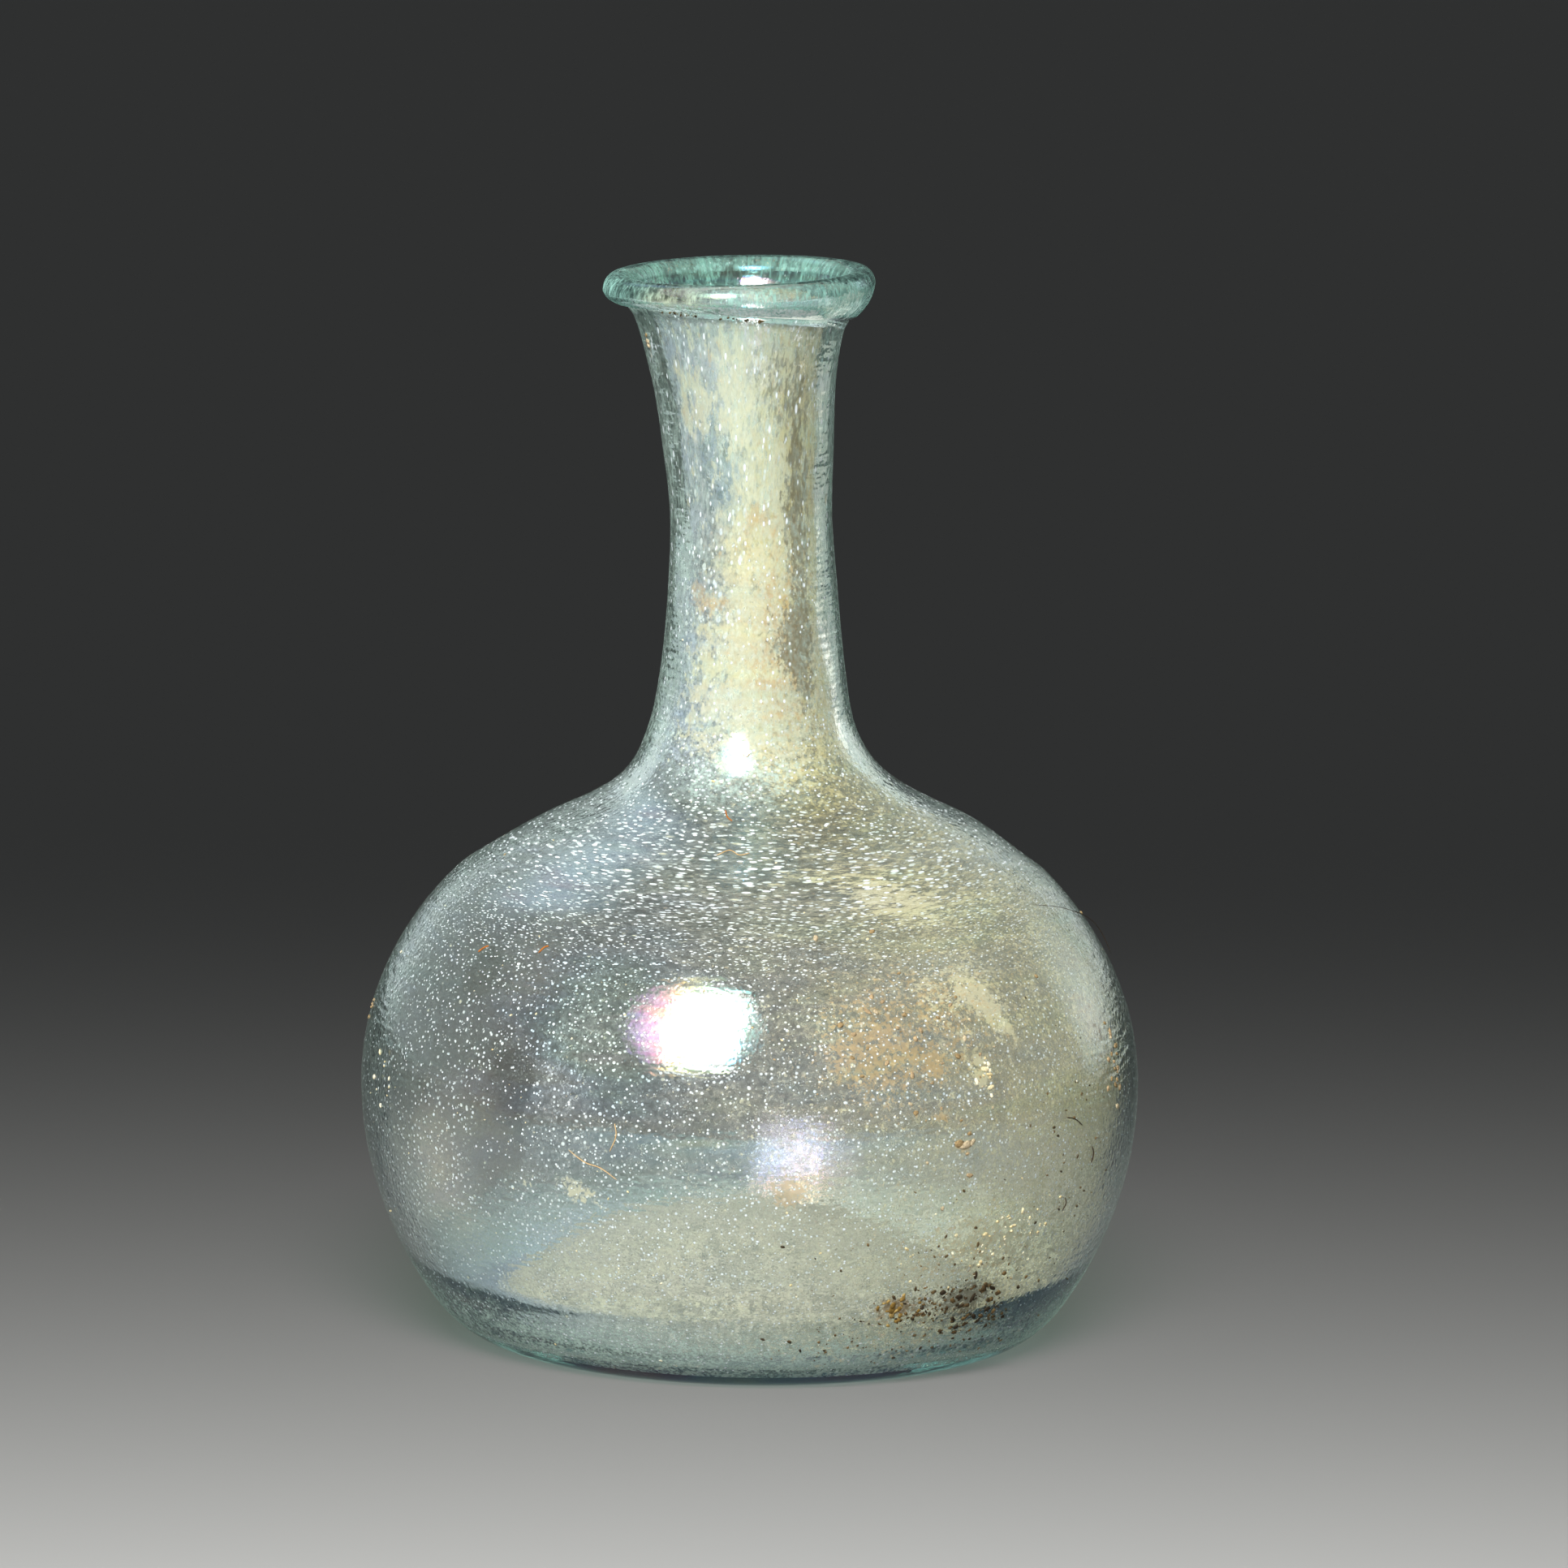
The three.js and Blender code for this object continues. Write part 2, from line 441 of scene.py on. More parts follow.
def grid_faces(rows: int, columns: int, capped: bool) -> tuple[np.ndarray, list[list[int]]]:
    """Faces of a grid whose columns run round an axis, and which of its places they use.

    Each cell is a quad whose corners run along the columns first, so it faces outward where the
    rows climb. A capped grid's first and last rows shrink to one point each and are closed by fans
    of triangles. On any other grid the last row joins the first, as on a tube bent into a ring.

    Args:
        rows: Number of rows.
        columns: Number of columns.
        capped: True where the first and last rows are single points.

    Returns:
        The numbers of the places kept, and the corners of each face, row by row.
    """
    index = np.arange(rows * columns).reshape(rows, columns)
    kept = index.ravel()
    if capped:
        kept = np.concatenate((kept[:1], kept[columns : (rows - 1) * columns + 1]))
        index = index - (columns - 1)
        index[0], index[-1] = 0, (rows - 2) * columns + 1
    else:
        index = np.vstack((index, index[:1]))
    right = np.roll(index, -1, axis=1)
    quads = np.stack((index[:-1], right[:-1], right[1:], index[1:]), axis=-1)
    faces = quads.reshape(-1, 4).tolist()
    if capped:
        faces[:columns] = quads[0][:, [0, 2, 3]].tolist()
        faces[-columns:] = quads[-1][:, [0, 1, 3]].tolist()
    return kept, faces


def mesh_object(
    name: str, places: np.ndarray, faces: list[list[int]], values: dict[str, np.ndarray]
) -> bpy.types.Object:
    """A smooth-shaded object in metres, linked to the scene.

    Args:
        name: Name of the object.
        places: Vertices in mm.
        faces: Corners of each face.
        values: Per-vertex rows of four channels, kept as a colour, or of three, kept as a vector.

    Returns:
        The object.
    """
    mesh = bpy.data.meshes.new(name)
    mesh.from_pydata((places * MM).tolist(), [], faces)
    for label, data in values.items():
        kind, channel = ("FLOAT_COLOR", "color") if data.shape[-1] == 4 else ("FLOAT_VECTOR", "vector")
        layer = mesh.attributes.new(label, kind, "POINT")
        layer.data.foreach_set(channel, data.astype(np.float32).ravel())
    mesh.polygons.foreach_set("use_smooth", np.ones(len(faces), bool))
    mesh.update()
    made = bpy.data.objects.new(name, mesh)
    bpy.context.scene.collection.objects.link(made)
    return made


def grid_object(
    name: str, grid: np.ndarray, values: dict[str, np.ndarray], capped: bool
) -> bpy.types.Object:
    """A closed object from one grid.

    Args:
        name: Name of the object.
        grid: Places in mm, rows by columns by xyz.
        values: Three or four channels for each place, by attribute name.
        capped: True where the section starts and ends on the axis.

    Returns:
        The object.
    """
    kept, faces = grid_faces(*grid.shape[:2], capped)
    rows = {label: data.reshape(-1, data.shape[-1])[kept] for label, data in values.items()}
    return mesh_object(name, grid.reshape(-1, 3)[kept], faces, rows)


def scattered_object(name: str, grids: list[np.ndarray], shades: list[str]) -> bpy.types.Object:
    """One object of many small closed parts, each a capped grid.

    Args:
        name: Name of the object.
        grids: Places in mm, with each part's columns turning left as seen from the end its rows
            climb to.
        shades: sRGB hex colour of each part, kept per vertex.

    Returns:
        The object.
    """
    places: list[np.ndarray] = []
    colours: list[np.ndarray] = []
    faces: list[list[int]] = []
    start = 0
    for grid, shade in zip(grids, shades):
        kept, corners = grid_faces(*grid.shape[:2], capped=True)
        faces += [[corner + start for corner in face] for face in corners]
        places.append(grid.reshape(-1, 3)[kept])
        colours.append(np.tile(linear(shade), (len(kept), 1)))
        start += len(kept)
    return mesh_object(name, np.vstack(places), faces, {"shade": np.vstack(colours)})


def join_vessel(piece: bpy.types.Object, *materials: bpy.types.Material) -> bpy.types.Object:
    """Gives a piece its materials, sets it on the vessel's body, and reports it.

    Args:
        piece: The piece.
        *materials: Its materials, in the order that its faces number them.

    Returns:
        The same piece.
    """
    for material in materials:
        piece.data.materials.append(material)
    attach(piece, BODY)
    LOG.info("%s: %d faces", piece.name, len(piece.data.polygons))
    return piece


# --- Where the weathering lies ---


class Deposit(Enum):
    """What a patch puts on the glass, or takes from it."""

    # Haze is mostly real weathering, but at the heel, on the two sides seen edge on and at the root of the
    # neck it is painted light.
    HAZE_AND_PAINTED_LIGHT = "haze"
    CLEAR = "clear"
    DOTS = "dots"
    CRUST = "crust"
    OCHRE = "ochre"
    UMBER = "umber"
    WARM = "warm"


HAZE_AND_PAINTED_LIGHT, CLEAR, DOTS, CRUST, OCHRE, UMBER, WARM = Deposit
Amounts = dict[Deposit, np.ndarray | float]


@dataclass(frozen=True)
class Patch:
    """One patch of weathering, placed on the surface.

    Attributes:
        deposit: What it is.
        bearing: Degrees round the axis, 0 to the viewer's right and -90 to the front.
        height: Height of its middle, in mm.
        wide: Half width along the surface, in mm.
        tall: Half height along the surface, in mm.
        strength: How much it adds at its middle.
        turn: Degrees that it is turned on the surface.
    """

    deposit: Deposit
    bearing: float
    height: float
    wide: float
    tall: float
    strength: float
    turn: float = 0.0


@dataclass
class Chart:
    """The bearing, height, radius and distance along the section at each place of a film's grid."""

    bearing: np.ndarray
    height: np.ndarray
    radius: np.ndarray
    travel: np.ndarray

    def flipped(self) -> Chart:
        """The same chart with its rows in the other order, measured from its other end."""
        travel = self.travel[-1] - self.travel[::-1]
        return Chart(self.bearing, self.height[::-1], self.radius[::-1], travel)

    def weight(self, patch: Patch) -> np.ndarray:
        """A patch's share at each place: the exponential of minus the cube of the elliptical distance.

        Args:
            patch: The patch.

        Returns:
            One at its middle, falling off to nothing.
        """
        around = (self.bearing - math.radians(patch.bearing) + math.pi) % (2 * math.pi) - math.pi
        across = around * self.radius
        middle = self.travel[np.argmin(np.abs(self.height[:, 0] - patch.height)), 0]
        up = self.travel - middle
        turn = math.radians(patch.turn)
        u = (across * math.cos(turn) + up * math.sin(turn)) / patch.wide
        v = (up * math.cos(turn) - across * math.sin(turn)) / patch.tall
        return np.exp(-((u * u + v * v) ** 1.5))

    def layers(self, base: Amounts, patches: tuple[Patch, ...]) -> Amounts:
        """Adds the patches to the base amounts and keeps each between zero and one.

        Args:
            base: Amounts before the patches; a deposit that it doesn't name starts at zero.
            patches: The patches.

        Returns:
            The amount of each deposit.
        """
        shape = np.broadcast(self.bearing, self.height).shape
        made = {kind: np.array(np.broadcast_to(base.get(kind, 0.0), shape), float) for kind in Deposit}
        for patch in patches:
            made[patch.deposit] += patch.strength * self.weight(patch)
        return {kind: np.clip(amount, 0.0, 1.0) for kind, amount in made.items()}

    def around_height(self, height: float, spread: float) -> np.ndarray:
        """A bell that is one at a height and falls off over the spread, in mm."""
        return np.exp(-(((self.height - height) / spread) ** 2))

    def drawn_out(self, grid: np.ndarray) -> np.ndarray:
        """Pattern coordinates in mm that draw the crust's grains out along the glassmaker's lines.

        They are x and y, and the distance up the surface times a stretch. On the neck the stretch
        is small, so grains run into upright streaks. On the shoulder it is large while x and y are
        narrowed, so grains lie along the turning. On the body they are plain.

        Args:
            grid: Places of the seen face, over the chart's rows.

        Returns:
            The coordinates at each place.
        """
        neck = 0.35 * smoothstep(self.height, 54, 60) + 0.35 * smoothstep(self.height, 68, 80)
        shoulder = self.around_height(45.5, 5.0)
        narrow = 1 - 0.6 * shoulder
        pace = ((1 - neck) * (1 + 0.3 * shoulder))[:, 0]
        steps = np.diff(self.travel[:, 0]) * (pace[1:] + pace[:-1]) / 2
        climbed = np.concatenate(([0.0], np.cumsum(steps)))[:, None]
        return np.stack(np.broadcast_arrays(grid[..., 0] * narrow, grid[..., 1] * narrow, climbed), axis=-1)


# --- Finishes ---


def let_lamps_through(
    tree: bpy.types.NodeTree, shader: bpy.types.NodeSocket, colour: str
) -> bpy.types.NodeSocket:
    """Lets lamps and soft bounced light straight through a shader, so that the far wall is lit.

    Args:
        tree: The material's tree.
        shader: What every other ray meets.
        colour: sRGB hex of the share of light that passes.

    Returns:
        The mixed shader.
    """
    through = add_node(tree, "BsdfTransparent", {"Color": linear(colour)})
    for ray in ("Is Diffuse Ray", "Is Shadow Ray"):
        crossing = add_node(tree, "LightPath", output=ray)
        shader = add_node(tree, "MixShader", {0: crossing, 1: shader, 2: through})
    return shader


@dataclass(frozen=True)
class BlownGlass:
    """Soda-lime glass, naturally blue-green from iron in the sand, free-blown.

    It is see-through and glossy with soft ripples from the blowing, and its thick places, such as
    the rim roll and the wall seen edge on, go teal. A skin of weathered layers makes its highlights
    pearly.
    """

    name: str = "free_blown_blue_green_soda_lime_glass"
    tint: str = "#98D2CE"
    passing: str = "#FAFDFC"
    density: float = 44.0  # per metre: 3 mm of wall takes a tenth of the red, 20 mm nearly half
    ior: float = 1.52
    dull: tuple[float, float] = (0.02, 0.06)
    cloud_scale: float = 160.0  # per metre: clouds of dullness 6 mm wide
    pit_scale: float = 1900.0  # per metre: pits half a millimetre wide
    streak_scale: tuple[float, float, float] = (70.0, 70.0, 420.0)  # streaks 14 mm long and 2 mm tall
    streak_slant: float = math.radians(24)
    film_nm: tuple[float, float] = (170.0, 250.0)
    pearl_nm: float = 110.0  # added where the skin is thickest
    film_ior: float = 1.8

    def material(self) -> bpy.types.Material:
        """Builds the material and returns it."""
        material, tree = new_material(self.name)
        node = partial(add_node, tree)
        place = node("TexCoord", output="Object")
        cloud, pits = (
            node("TexNoise", {"Vector": place, "Scale": scale, "Detail": detail, "Roughness": rough})
            for scale, detail, rough in ((self.cloud_scale, 3.0, 0.6), (self.pit_scale, 1.0, 0.5))
        )
        rough = node(
            "MapRange",
            {0: cloud, 1: 0.35, 2: 0.65, 3: self.dull[0], 4: self.dull[1]},
            interpolation_type="SMOOTHSTEP",
        )
        # The pearly skin lies on the outer face alone. It runs in slanting streaks, and thickens in
        # one place, where its colours turn from straw through pink to blue.
        slanting = {"Vector": place, "Rotation": (0.0, self.streak_slant, 0.0), "Scale": self.streak_scale}
        slant = node("Mapping", slanting)
        streaks = {"Vector": slant, "Scale": 1.0, "Detail": 2.0, "Roughness": 0.6, "Distortion": 0.5}
        bands = node("TexNoise", streaks)
        skin = node("MapRange", {0: bands, 1: 0.3, 2: 0.7, 3: self.film_nm[0], 4: self.film_nm[1]})
        where = node("Attribute", output="Vector", attribute_name="skin")
        outer, pearl = (node("SeparateXYZ", {0: where}, output=k) for k in range(2))
        skin = node("Math", {0: pearl, 1: self.pearl_nm, 2: skin}, operation="MULTIPLY_ADD")
        skin = node("Math", {0: skin, 1: outer}, operation="MULTIPLY")
        drawn = node("TexNoise", {"Vector": slant, "Scale": 4.0, "Detail": 1.0})
        relief = node("Math", {0: drawn, 1: 1.4, 2: pits}, operation="MULTIPLY_ADD")
        bump = node("Bump", {"Strength": 0.3, "Distance": 0.00005, "Height": relief})
        glass = node(
            "BsdfPrincipled",
            {
                "Base Color": (1.0, 1.0, 1.0, 1.0),
                "Roughness": rough,
                "IOR": self.ior,
                "Transmission Weight": 1.0,
                "Specular IOR Level": 0.5,
                "Thin Film Thickness": skin,
                "Thin Film IOR": self.film_ior,
                "Normal": bump,
            },
        )
        body = node("VolumeAbsorption", {"Color": linear(self.tint), "Density": self.density})
        node("OutputMaterial", {"Surface": let_lamps_through(tree, glass, self.passing), "Volume": body})
        return material


@dataclass(frozen=True)
class WeatheringCrust:
    """Hydrated silica that time has leached from the glass, with burial earth caught in it.

    It is matt and milky where whole, flakes to clear glass, and carries pinhead spots, cream scabs,
    and ochre and umber earth. Patterns follow the piece's own coordinates, in mm.
    """

    name: str
    haze_cool: str = "#9FB1D0"
    haze_warm: str = "#CEC292"
    spot: str = "#E6EDF5"
    cream: str = "#DDD5B4"
    ochre: str = "#C79E62"
    umber: str = "#5F4C2B"
    spot_mm: float = 0.52
    passing: str = "#FAFAF8"

    def material(self) -> bpy.types.Material:
        """Builds the material and returns it: each layer lies over the last, colour and cover alike."""
        material, tree = new_material(self.name)
        node = partial(add_node, tree)
        place = node("Attribute", output="Vector", attribute_name="drawn_out")
        wear_and_painted_light = node("Attribute", output="Color", attribute_name="wear_and_painted_light")
        soil = node("Attribute", output="Color", attribute_name="soil")
        spots = node("Attribute", output="Alpha", attribute_name="soil")
        cover, warm, clear = (node("SeparateColor", {0: wear_and_painted_light}, output=k) for k in range(3))
        crust, ochre, umber = (node("SeparateColor", {0: soil}, output=k) for k in range(3))

        # 5 mm clouds, 0.9 mm mottling, and 0.3 mm grain
        cloud, mottle, grain = (
            node("TexNoise", {"Vector": place, "Scale": scale, "Detail": detail, "Roughness": rough})
            for scale, detail, rough in ((0.2, 5.0, 0.62), (1.1, 3.0, 0.7), (3.1, 1.0, 0.6))
        )
        lost = {0: node("Math", {0: cloud, 1: clear}, operation="ADD"), 1: 0.8, 2: 1.0, 3: 0.0, 4: 1.0}
        flaked = node("MapRange", lost, interpolation_type="SMOOTHSTEP")
        kept = node("Math", {0: flaked, 1: -0.88, 2: 1.0}, operation="MULTIPLY_ADD")
        for noise, low, high, least, most in (
            (cloud, 0.3, 0.7, 0.6, 1.35),
            (mottle, 0.34, 0.66, 0.4, 1.6),
            (grain, 0.34, 0.66, 0.4, 1.6),
        ):
            factor = node("MapRange", {0: noise, 1: low, 2: high, 3: least, 4: most})
            cover = node("Math", {0: cover, 1: factor}, operation="MULTIPLY")
        cover = node("Math", {0: cover, 1: kept}, operation="MULTIPLY")
        blend = {0: warm, 6: linear(self.haze_cool), 7: linear(self.haze_warm)}
        colour = node("Mix", blend, output=2, data_type="RGBA")
        # Pinhead spots 0.1 to 0.4 mm wide, larger ones among them, and a few cream flecks, which
        # alone stay where the crust has flaked.
        layers = []
        for pitch, reach in ((self.spot_mm, 0.42), (self.spot_mm * 2.1, 0.26)):
            mask = self.spot_mask(tree, place, spots, pitch, reach)
            layers.append((node("Math", {0: mask, 1: kept}, operation="MULTIPLY"), self.spot, 0.9))
        layers.append((self.spot_mask(tree, place, spots, self.spot_mm * 6, 0.1), self.cream, 0.92))
        # Cream scabs, ochre and umber lie where their amount lifts a noise over a level.
        for amount, shade, scale, edge, most in (
            (crust, self.cream, 1.2, 0.06, 0.8),
            (ochre, self.ochre, 1.7, 0.06, 0.62),
            (umber, self.umber, 2.6, 0.05, 0.78),
        ):
            noise = node("TexNoise", {"Vector": place, "Scale": scale, "Detail": 5.0, "Roughness": 0.78})
            level = node("Math", {0: amount, 1: 0.34, 2: noise}, operation="MULTIPLY_ADD")
            span = {0: level, 1: 0.72 - edge, 2: 0.72 + edge, 3: 0.0, 4: 1.0}
            layers.append((node("MapRange", span, interpolation_type="SMOOTHSTEP"), shade, most))
        for mask, shade, most in layers:
            share = node("Math", {0: mask, 1: most}, operation="MULTIPLY")
            colour = node("Mix", {0: share, 6: colour, 7: linear(shade)}, output=2, data_type="RGBA")
            cover = node("Mix", {0: share, 2: cover, 3: 1.0}, output=0, data_type="FLOAT")
        shown = node("Math", {0: cover, 1: 1.0}, operation="MINIMUM", use_clamp=True)
        skin = {"Base Color": colour, "Roughness": 0.62, "Specular IOR Level": 0.3, "Alpha": shown}
        surface = let_lamps_through(tree, node("BsdfPrincipled", skin), self.passing)
        node("OutputMaterial", {"Surface": surface})
        return material

    def hidden(self) -> bpy.types.Material:
        """Builds the crust's face against the glass: clear, so that the crust counts once."""
        material, tree = new_material(self.name + "_hidden_face")
        clear = {"Base Color": linear(self.haze_cool), "Roughness": 0.6, "Alpha": 0.0}
        add_node(tree, "OutputMaterial", {"Surface": add_node(tree, "BsdfPrincipled", clear)})
        return material

    def spot_mask(
        self,
        tree: bpy.types.NodeTree,
        place: bpy.types.NodeSocket,
        amount: bpy.types.NodeSocket,
        pitch: float,
        reach: float,
    ) -> bpy.types.NodeSocket:
        """Round spots, one to a cell, whose radius is the amount times the cell's random share.

        Args:
            tree: The material's tree.
            place: Coordinates in mm.
            amount: How many and how large, from 0 to 1.
            pitch: Distance between spots, in mm.
            reach: Largest radius, in cells.

        Returns:
            The mask.
        """
        node = partial(add_node, tree)
        links = {"Vector": place, "Scale": 1 / pitch}
        distance = node("TexVoronoi", links, output="Distance")
        random = node("SeparateColor", {0: node("TexVoronoi", links, output="Color")})
        radius = node("Math", {0: random, 1: 0.7 * reach, 2: 0.3 * reach}, operation="MULTIPLY_ADD")
        radius = node("Math", {0: radius, 1: amount}, operation="MULTIPLY")
        gap = node("Math", {0: distance, 1: radius}, operation="SUBTRACT")
        return node("MapRange", {0: gap, 1: -0.05, 2: 0.03, 3: 1.0, 4: 0.0})


@dataclass(frozen=True)
class DryMatter:
    """Something dry and dull that has stuck to the glass, such as dried earth or a dead rootlet.

    It gives the eye a matt speck or thread with no shine, in each part's own colour, mottled as
    silt and bark are.
    """

    name: str
    roughness: float
    uneven: float = 0.35
    mottle_scale: float = 6500.0  # per metre: mottling of 0.15 mm, about a grain of silt

    def material(self) -> bpy.types.Material:
        """Builds the material and returns it."""
        material, tree = new_material(self.name)
        node = partial(add_node, tree)
        shade = node("Attribute", output="Color", attribute_name="shade")
        place = node("TexCoord", output="Object")
        mottle = node("TexNoise", {"Vector": place, "Scale": self.mottle_scale, "Detail": 1.0})
        light = node("MapRange", {0: mottle, 1: 0.3, 2: 0.7, 3: 1 - self.uneven, 4: 1 + self.uneven})
        colour = node("VectorMath", {0: shade, "Scale": light}, operation="SCALE")
        dull = {"Base Color": colour, "Roughness": self.roughness, "Specular IOR Level": 0.1}
        node("OutputMaterial", {"Surface": node("BsdfPrincipled", dull)})
        return material


# --- Pieces ---


@dataclass
class Flask:
    """The blown vessel itself: one closed wall of clear glass.

    Attributes:
        form: The vessel's sizes and curves.
        finish: The glass.
        inner_ripple: How far the inner wall ripples, in mm.
        pearl: Bearing in degrees and height in mm of the place where the pearly skin is thickest.
        pearl_size: Half width and half height of that place, in mm.
    """

    form: VesselForm = field(default_factory=VesselForm)
    finish: BlownGlass = field(default_factory=BlownGlass)
    inner_ripple: float = 0.07
    pearl: tuple[float, float] = (-112.0, 34.5)
    pearl_size: tuple[float, float] = (7.5, 7.0)

    def build(self) -> bpy.types.Object:
        """Makes the glass, puts it in the solid's place and returns it."""
        form = self.form
        outside, inside = form.outside(), form.inside()
        shell = shifted(outside, -form.inset(outside))
        outer = np.vstack((form.underside(), shell, shifted(form.roll(), -RIM_INSET)))
        section = np.vstack((outer, inside))
        ripple = np.concatenate((np.zeros(len(outer)), self.inner_fade(inside)))
        skin = self.skin(section, len(outer))
        piece = grid_object("flask_glass", form.turn(section, ripple), {"skin": skin}, capped=True)
        join_vessel(piece, self.finish.material())
        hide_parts("flask")
        return piece

    def skin(self, section: np.ndarray, outer_rows: int) -> np.ndarray:
        """Where the pearly skin lies: its first channel is the outer face, its second the thick place.

        Args:
            section: Rows of (radius, height) of the whole wall.
            outer_rows: How many of the first rows are the outer face.

        Returns:
            Three channels for each place of the grid.
        """
        across = (bearings() - math.radians(self.pearl[0])) * 33.0  # mm round the wall at that height
        up = (section[:, 1:] - self.pearl[1]) * 1.15  # the wall slopes, so it is longer than it is tall
        wide, tall = self.pearl_size
        thick = np.exp(-(((across / wide) ** 2 + (up / tall) ** 2) ** 1.5))
        outer = (np.arange(len(section)) < outer_rows).astype(float)[:, None]
        return np.stack(np.broadcast_arrays(outer, thick, 0.0), axis=-1)

    def inner_fade(self, inside: np.ndarray) -> np.ndarray:
        """How far the inner wall ripples at each row: nothing at the lip, and less on the floor."""
        away = smoothstep(travelled(inside), 2.0, 14.0)
        return self.inner_ripple * away * (0.5 + 0.5 * smoothstep(inside[:, 1], 5.0, 14.0))


@dataclass
class Film:
    """A crust that hugs one side of the glass, as a thin closed shell whose hidden face is clear."""

    form: VesselForm
    finish: WeatheringCrust
    patches: tuple[Patch, ...]

    def chart(self, line: np.ndarray) -> Chart:
        """Charts a section line round the axis."""
        return Chart(bearings(), line[:, 1:], line[:, :1], travelled(line)[:, None])

    def dress(
        self,
        name: str,
        seen: np.ndarray,
        hidden: np.ndarray,
        chart: Chart,
        amounts: Amounts,
        inward: bool = False,
    ) -> bpy.types.Object:
        """Joins the seen and the hidden grids into one shell, and gives it its amounts and finish.

        Args:
            name: Name of the piece.
            seen: Grid of the seen face, its rows climbing.
            hidden: Grid of the hidden face, over the same rows.
            chart: Chart of those rows.
            amounts: Amount of each deposit there.
            inward: True where the seen face faces the hollow, and both grids start on the axis.

        Returns:
            The piece.
        """
        # The first channel, haze, also carries painted light at the heel, on the edge-on sides and at the
        # root of the neck.
        wear_and_painted_light = np.stack([amounts[k] for k in (HAZE_AND_PAINTED_LIGHT, WARM, CLEAR)] + [np.ones(seen.shape[:2])], axis=-1)
        soil = np.stack([amounts[k] for k in (CRUST, OCHRE, UMBER, DOTS)], axis=-1)
        values = {"wear_and_painted_light": wear_and_painted_light, "soil": soil, "drawn_out": chart.drawn_out(seen)}
        values = {label: np.concatenate((data, data[::-1])) for label, data in values.items()}
        up, down = (hidden, seen) if inward else (seen, hidden)
        piece = grid_object(name, np.concatenate((up, down[::-1])), values, capped=inward)
        cell = np.arange(len(piece.data.polygons)) // TURN_STEPS
        clear = cell < len(seen) if inward else cell >= len(seen) - 1
        piece.data.polygons.foreach_set("material_index", clear.astype(np.int32))
        return join_vessel(piece, self.finish.material(), self.finish.hidden())


@dataclass
class OutsideFilm(Film):
    """The crust outside, from the heel to the crease under the rim roll."""

    lowest: float = 1.2  # mm: below this the vessel is worn clean
    scab_mm: float = 0.05  # how far a scab stands proud of the haze

    def build(self) -> bpy.types.Object:
        """Makes the outer crust and returns it."""
        line = self.form.outside()
        keep = line[:, 1] > self.lowest
        glass = -self.form.inset(line)
        near = shifted(line, glass + CRUST_GAP)[keep]
        far = shifted(line, glass + CRUST_GAP + CRUST_THICKNESS)[keep]
        chart = self.chart(line[keep])
        amounts = chart.layers(self.base(chart), self.patches)
        seen, hidden = self.form.turn(far), self.form.turn(near)
        proud = self.scab_mm * amounts[CRUST][..., None] * (seen - hidden) / CRUST_THICKNESS
        edge = np.sin(np.linspace(0, math.pi, len(seen)))[:, None, None]
        return self.dress("weathering_outside", seen + proud * edge, hidden, chart, amounts)

    def base(self, chart: Chart) -> Amounts:
        """A breath of haze, thick at the heel, and even spots.

        The thick haze at the heel and the extra haze on the two sides seen edge on are painted light:
        pale teal bands that stand in for the glow of the thick glass there.

        Args:
            chart: Chart of the crust.

        Returns:
            Amounts before the patches.
        """
        shoulder = chart.around_height(46, 6.0)
        neck = smoothstep(chart.height, 50, 58)
        # The haze at the heel is painted light: a pale teal band for the glow that the thick heel glass
        # gathers.
        heel = 1 - smoothstep(chart.height, 2.5, 8.5)
        # The haze on the two sides, seen edge on from the front, is painted light that brightens the
        # vessel's edges.
        sides = np.abs(np.cos(chart.bearing)) ** 8
        return {
            HAZE_AND_PAINTED_LIGHT: 0.01 + 0.1 * sides + 0.03 * shoulder + 0.2 * neck + 0.62 * heel,
            WARM: 0.3,
            DOTS: 0.56 + 0.25 * shoulder,
        }


